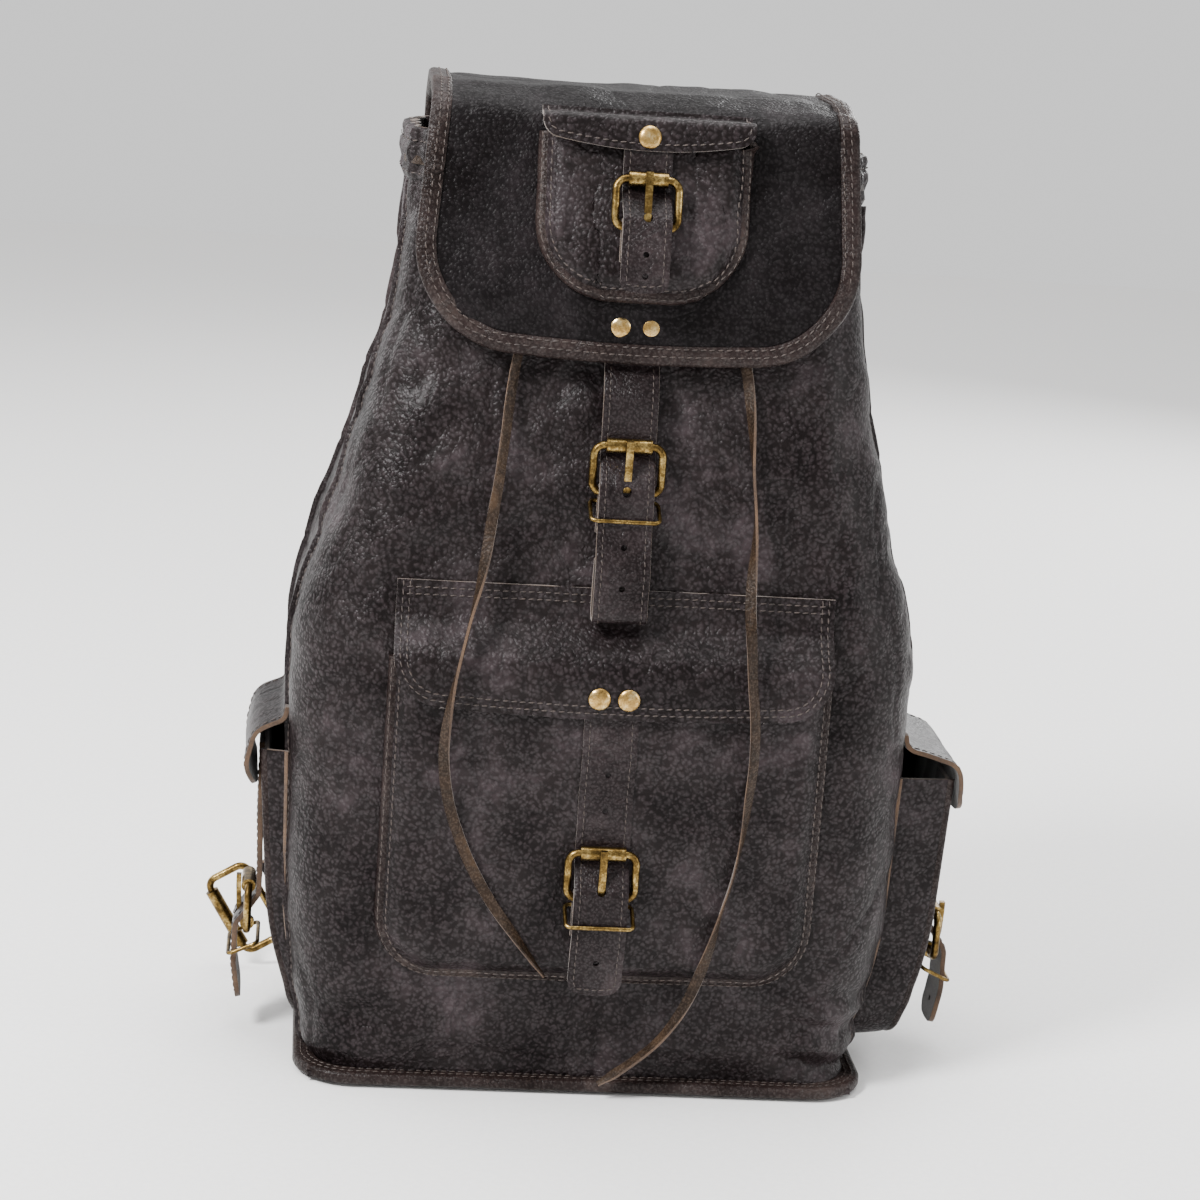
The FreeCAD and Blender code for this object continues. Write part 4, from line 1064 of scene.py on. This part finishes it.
yoke = Pattern([(352, 70), (368, 70)])
formed("back_yoke_leather", back_face, yoke, 90, 12, 2.4, STRAP_LEATHER, "root", ("back_yoke",),
       "strap_leather")
box_runs = []
for centre in (-42, 0, 42):
    loop = [(centre - 14, 355), (centre + 14, 355), (centre + 14, 365), (centre - 14, 365),
            (centre - 14, 355)]
    dense = [(a[0] + (b[0] - a[0]) * t, a[1] + (b[1] - a[1]) * t) for a, b in zip(loop, loop[1:])
             for t in np.linspace(0, 1, 8)[:-1]]
    box_runs.append(sewn(back_face, dense, 1.3))
stitches("back_yoke_stitching", box_runs, "root")

loop_path = Line([(-17, 366), (-17, 338, 15.5), (17, 338, 15.5), (17, 366)], 1.0)


def haul(x, up):
    cx, cz = loop_path.at(up)
    x2, z2 = loop_path.at(min(up + 1, loop_path.length))
    x1, z1 = loop_path.at(max(up - 1, 0))
    way = Vector((x2 - x1, 0, z2 - z1)).normalized()
    across = Vector((way.z, 0, -way.x))
    spot = Vector((cx, 0, cz)) + across * x
    lean = float(np.interp(spot.z, (325, 352, 366), (56.2, 50.9, 49.2)))
    return Vector((spot.x, lean, spot.z))


formed("haul_loop_leather", haul, Pattern([(0.5, 6.6), (loop_path.length - 0.5, 6.6)]), 12, 110, 2.2,
       STRAP_LEATHER,
       "haul_loop", ("haul_loop",), "strap_leather", inside=STRAP_LEATHER)
stitches("haul_loop_stitching", [sewn(haul, [(x, up) for up in np.linspace(2, loop_path.length - 2, 90)],
                                      side * 1.1)
                                 for x in (-4.6, 4.6) for side in (-1,)], "haul_loop", pitch=3.4)

for sign in (-1, 1):
    def tab(x, up, sign=sign):
        return Vector((117 * sign - x, 67.9, up))
    formed("lower_anchor_" + ("left" if sign < 0 else "right"), tab,
           Pattern([(7.3, 12.6), (26.7, 12.6)], corner=3.5),
           20, 20, 2.2, STRAP_LEATHER, "root", ("lower_anchors",) , "strap_leather", inside=STRAP_LEATHER)

# ---------------------------------------------------------------- laces
LACE_LEFT = [(-20, -42.4, 385.4), (-22, -46.6, 370), (-34, -52, 348), (-46, -56.7, 326), (-49, -58.3, 313),
             (-51, -66.5, 290), (-54, -74, 256), (-59, -82, 226), (-65, -92, 199), (-69.5, -94, 172),
             (-70, -90, 148), (-64, -87, 124), (-53, -86, 101), (-38, -85, 78), (-21, -84, 57)]
LACE_RIGHT = [(20, -42.4, 385.4), (23, -46.6, 370), (33, -52, 348), (46, -56.7, 326), (50, -58.3, 313),
              (52, -66.5, 291), (56, -74, 256), (54, -82, 226), (56, -92, 199), (60, -94, 170),
              (60, -90, 142),
              (58, -87, 113), (52, -86, 86), (46, -85, 60), (37, -82, 37), (24, -80, 20), (6, -79, 7)]


def lace(name, route, node, seed):
    """A flat lace cut from a hide, slowly twisting, its end narrowed."""
    curve = bpy.data.curves.new(name + "_route", "CURVE")
    curve.dimensions = "3D"
    curve.resolution_u = 12
    spline = curve.splines.new("NURBS")
    spline.points.add(len(route) - 1)
    for point, spot in zip(spline.points, route):
        point.co = (*[value * MM for value in spot], 1)
    spline.order_u = 3
    spline.use_endpoint_u = True
    holder = bpy.data.objects.new(name + "_route", curve)
    bpy.context.collection.objects.link(holder)
    line = bpy.data.meshes.new_from_object(holder)
    points = [Vector(vertex.co) / MM for vertex in line.vertices]
    bpy.data.objects.remove(holder, do_unlink=True)
    marks = [0.0]
    for a, b in zip(points, points[1:]):
        marks.append(marks[-1] + (b - a).length)
    path = []
    count = 260
    for k in range(count + 1):
        mark = marks[-1] * k / count
        i = min(max(int(np.searchsorted(marks, mark)), 1), len(points) - 1)
        share = (mark - marks[i - 1]) / max(marks[i] - marks[i - 1], 1e-6)
        point = points[i - 1].lerp(points[i], share)
        way = (points[min(i + 1, len(points) - 1)] - points[max(i - 2, 0)]).normalized()
        out = Vector((0, -1, 0))
        out = (out - way * out.dot(way)).normalized()
        side = way.cross(out)
        twist = 1.25 * math.sin(mark / 47 + seed) + 0.5 * math.sin(mark / 19 + seed * 2)
        point = point + side * 0.5 * ripple((mark, 0, 0), 22, seed)
        across = side * math.cos(twist) + out * math.sin(twist)
        facing = out * math.cos(twist) - side * math.sin(twist)
        narrow = 1 - 0.55 * ease(mark, marks[-1] - 9, marks[-1])
        path.append((point, across * narrow, facing))
    section = [(-2.3, -0.55), (-2.4, 0.0), (-2.2, 0.6), (0, 0.8), (2.2, 0.6), (2.4, 0.0), (2.3, -0.55),
               (0, -0.7)]
    made = swept(name, path, section, LACE_LEATHER, "root", (node,))
    made.data.materials.append(RAW_EDGE)
    for face in made.data.polygons:
        if face.index % len(section) in (0, 1, 5, 6):
            face.material_index = 1
    return made


lace("lace_left_leather", LACE_LEFT, "lace_left", 0.4)
lace("lace_right_leather", LACE_RIGHT, "lace_right", 2.1)

# ---------------------------------------------------------------- brass and other kept parts
KEPT = {"_buckle": BRASS, "_roller": BRASS, "_tongue": BRASS, "drawstring": LACE_LEATHER}
for name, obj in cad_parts.items():
    for ending, material in KEPT.items():
        if name.endswith(ending):
            obj.data.materials.clear()
            obj.data.materials.append(material)

# ---------------------------------------------------------------- floor, light and camera
bpy.ops.object.select_all(action="DESELECT")
bpy.ops.mesh.primitive_plane_add(size=6, location=(0, 0, -0.0006))
floor = bpy.context.object
floor.name = "studio_floor"
paper, tree, surface = new_material("white studio paper")
fleck = add(tree, "TexNoise", {"Vector": add(tree, "TexCoord").outputs["Object"], "Scale": per_mm(3)})
tree.links.new(ramp(tree, fleck.outputs["Fac"], [(0.3, "#f1f0ef"), (0.7, "#f6f5f4")]),
               surface.inputs["Base Color"])
surface.inputs["Roughness"].default_value = 0.7
floor.data.materials.append(paper)

world = bpy.data.worlds.new("studio")
bpy.context.scene.world = world
world.use_nodes = True
world.node_tree.nodes["Background"].inputs["Color"].default_value = colour("#ffffff")
world.node_tree.nodes["Background"].inputs["Strength"].default_value = 1.0


def soft_light(name, place, aim, size, power):
    data = bpy.data.lights.new(name, "AREA")
    data.shape = "DISK"
    data.size = size
    data.energy = power
    lamp = bpy.data.objects.new(name, data)
    bpy.context.collection.objects.link(lamp)
    lamp.location = place
    lamp.rotation_euler = (Vector(aim) - Vector(place)).to_track_quat("-Z", "Y").to_euler()
    return lamp


soft_light("key_light", (-0.9, -0.75, 1.25), (0, 0, 0.22), 0.4, 44)
soft_light("fill_light", (1.3, -0.7, 0.5), (0, 0, 0.2), 0.6, 6)
soft_light("overhead_light", (0.0, 0.1, 1.6), (0, 0, 0.2), 1.2, 22)
soft_light("back_light", (0.9, 1.5, 0.9), (0, 0, 0.2), 0.9, 20)
soft_light("back_fill", (-1.3, 1.1, 0.7), (0, 0, 0.2), 0.9, 10)

turn, rise, roll, far = math.radians(-6), math.radians(13), math.radians(4.2), 1.39
toward = Vector((math.sin(turn) * math.cos(rise), -math.cos(turn) * math.cos(rise), math.sin(rise)))
aim = Vector((0, 0, 0.2034))
forward = -toward
right = forward.cross(Vector((0, 0, 1))).normalized()
up = right.cross(forward)
camera_x = right * math.cos(roll) + up * math.sin(roll)
camera_y = up * math.cos(roll) - right * math.sin(roll)
camera_data = bpy.data.cameras.new("camera")
camera_data.lens = 94.2
camera_data.sensor_width = 36
camera = bpy.data.objects.new("camera", camera_data)
bpy.context.collection.objects.link(camera)
camera.matrix_world = Matrix.Translation(aim + toward * far) @ Matrix((camera_x, camera_y,
                                                                       toward)).transposed().to_4x4()
bpy.context.scene.camera = camera
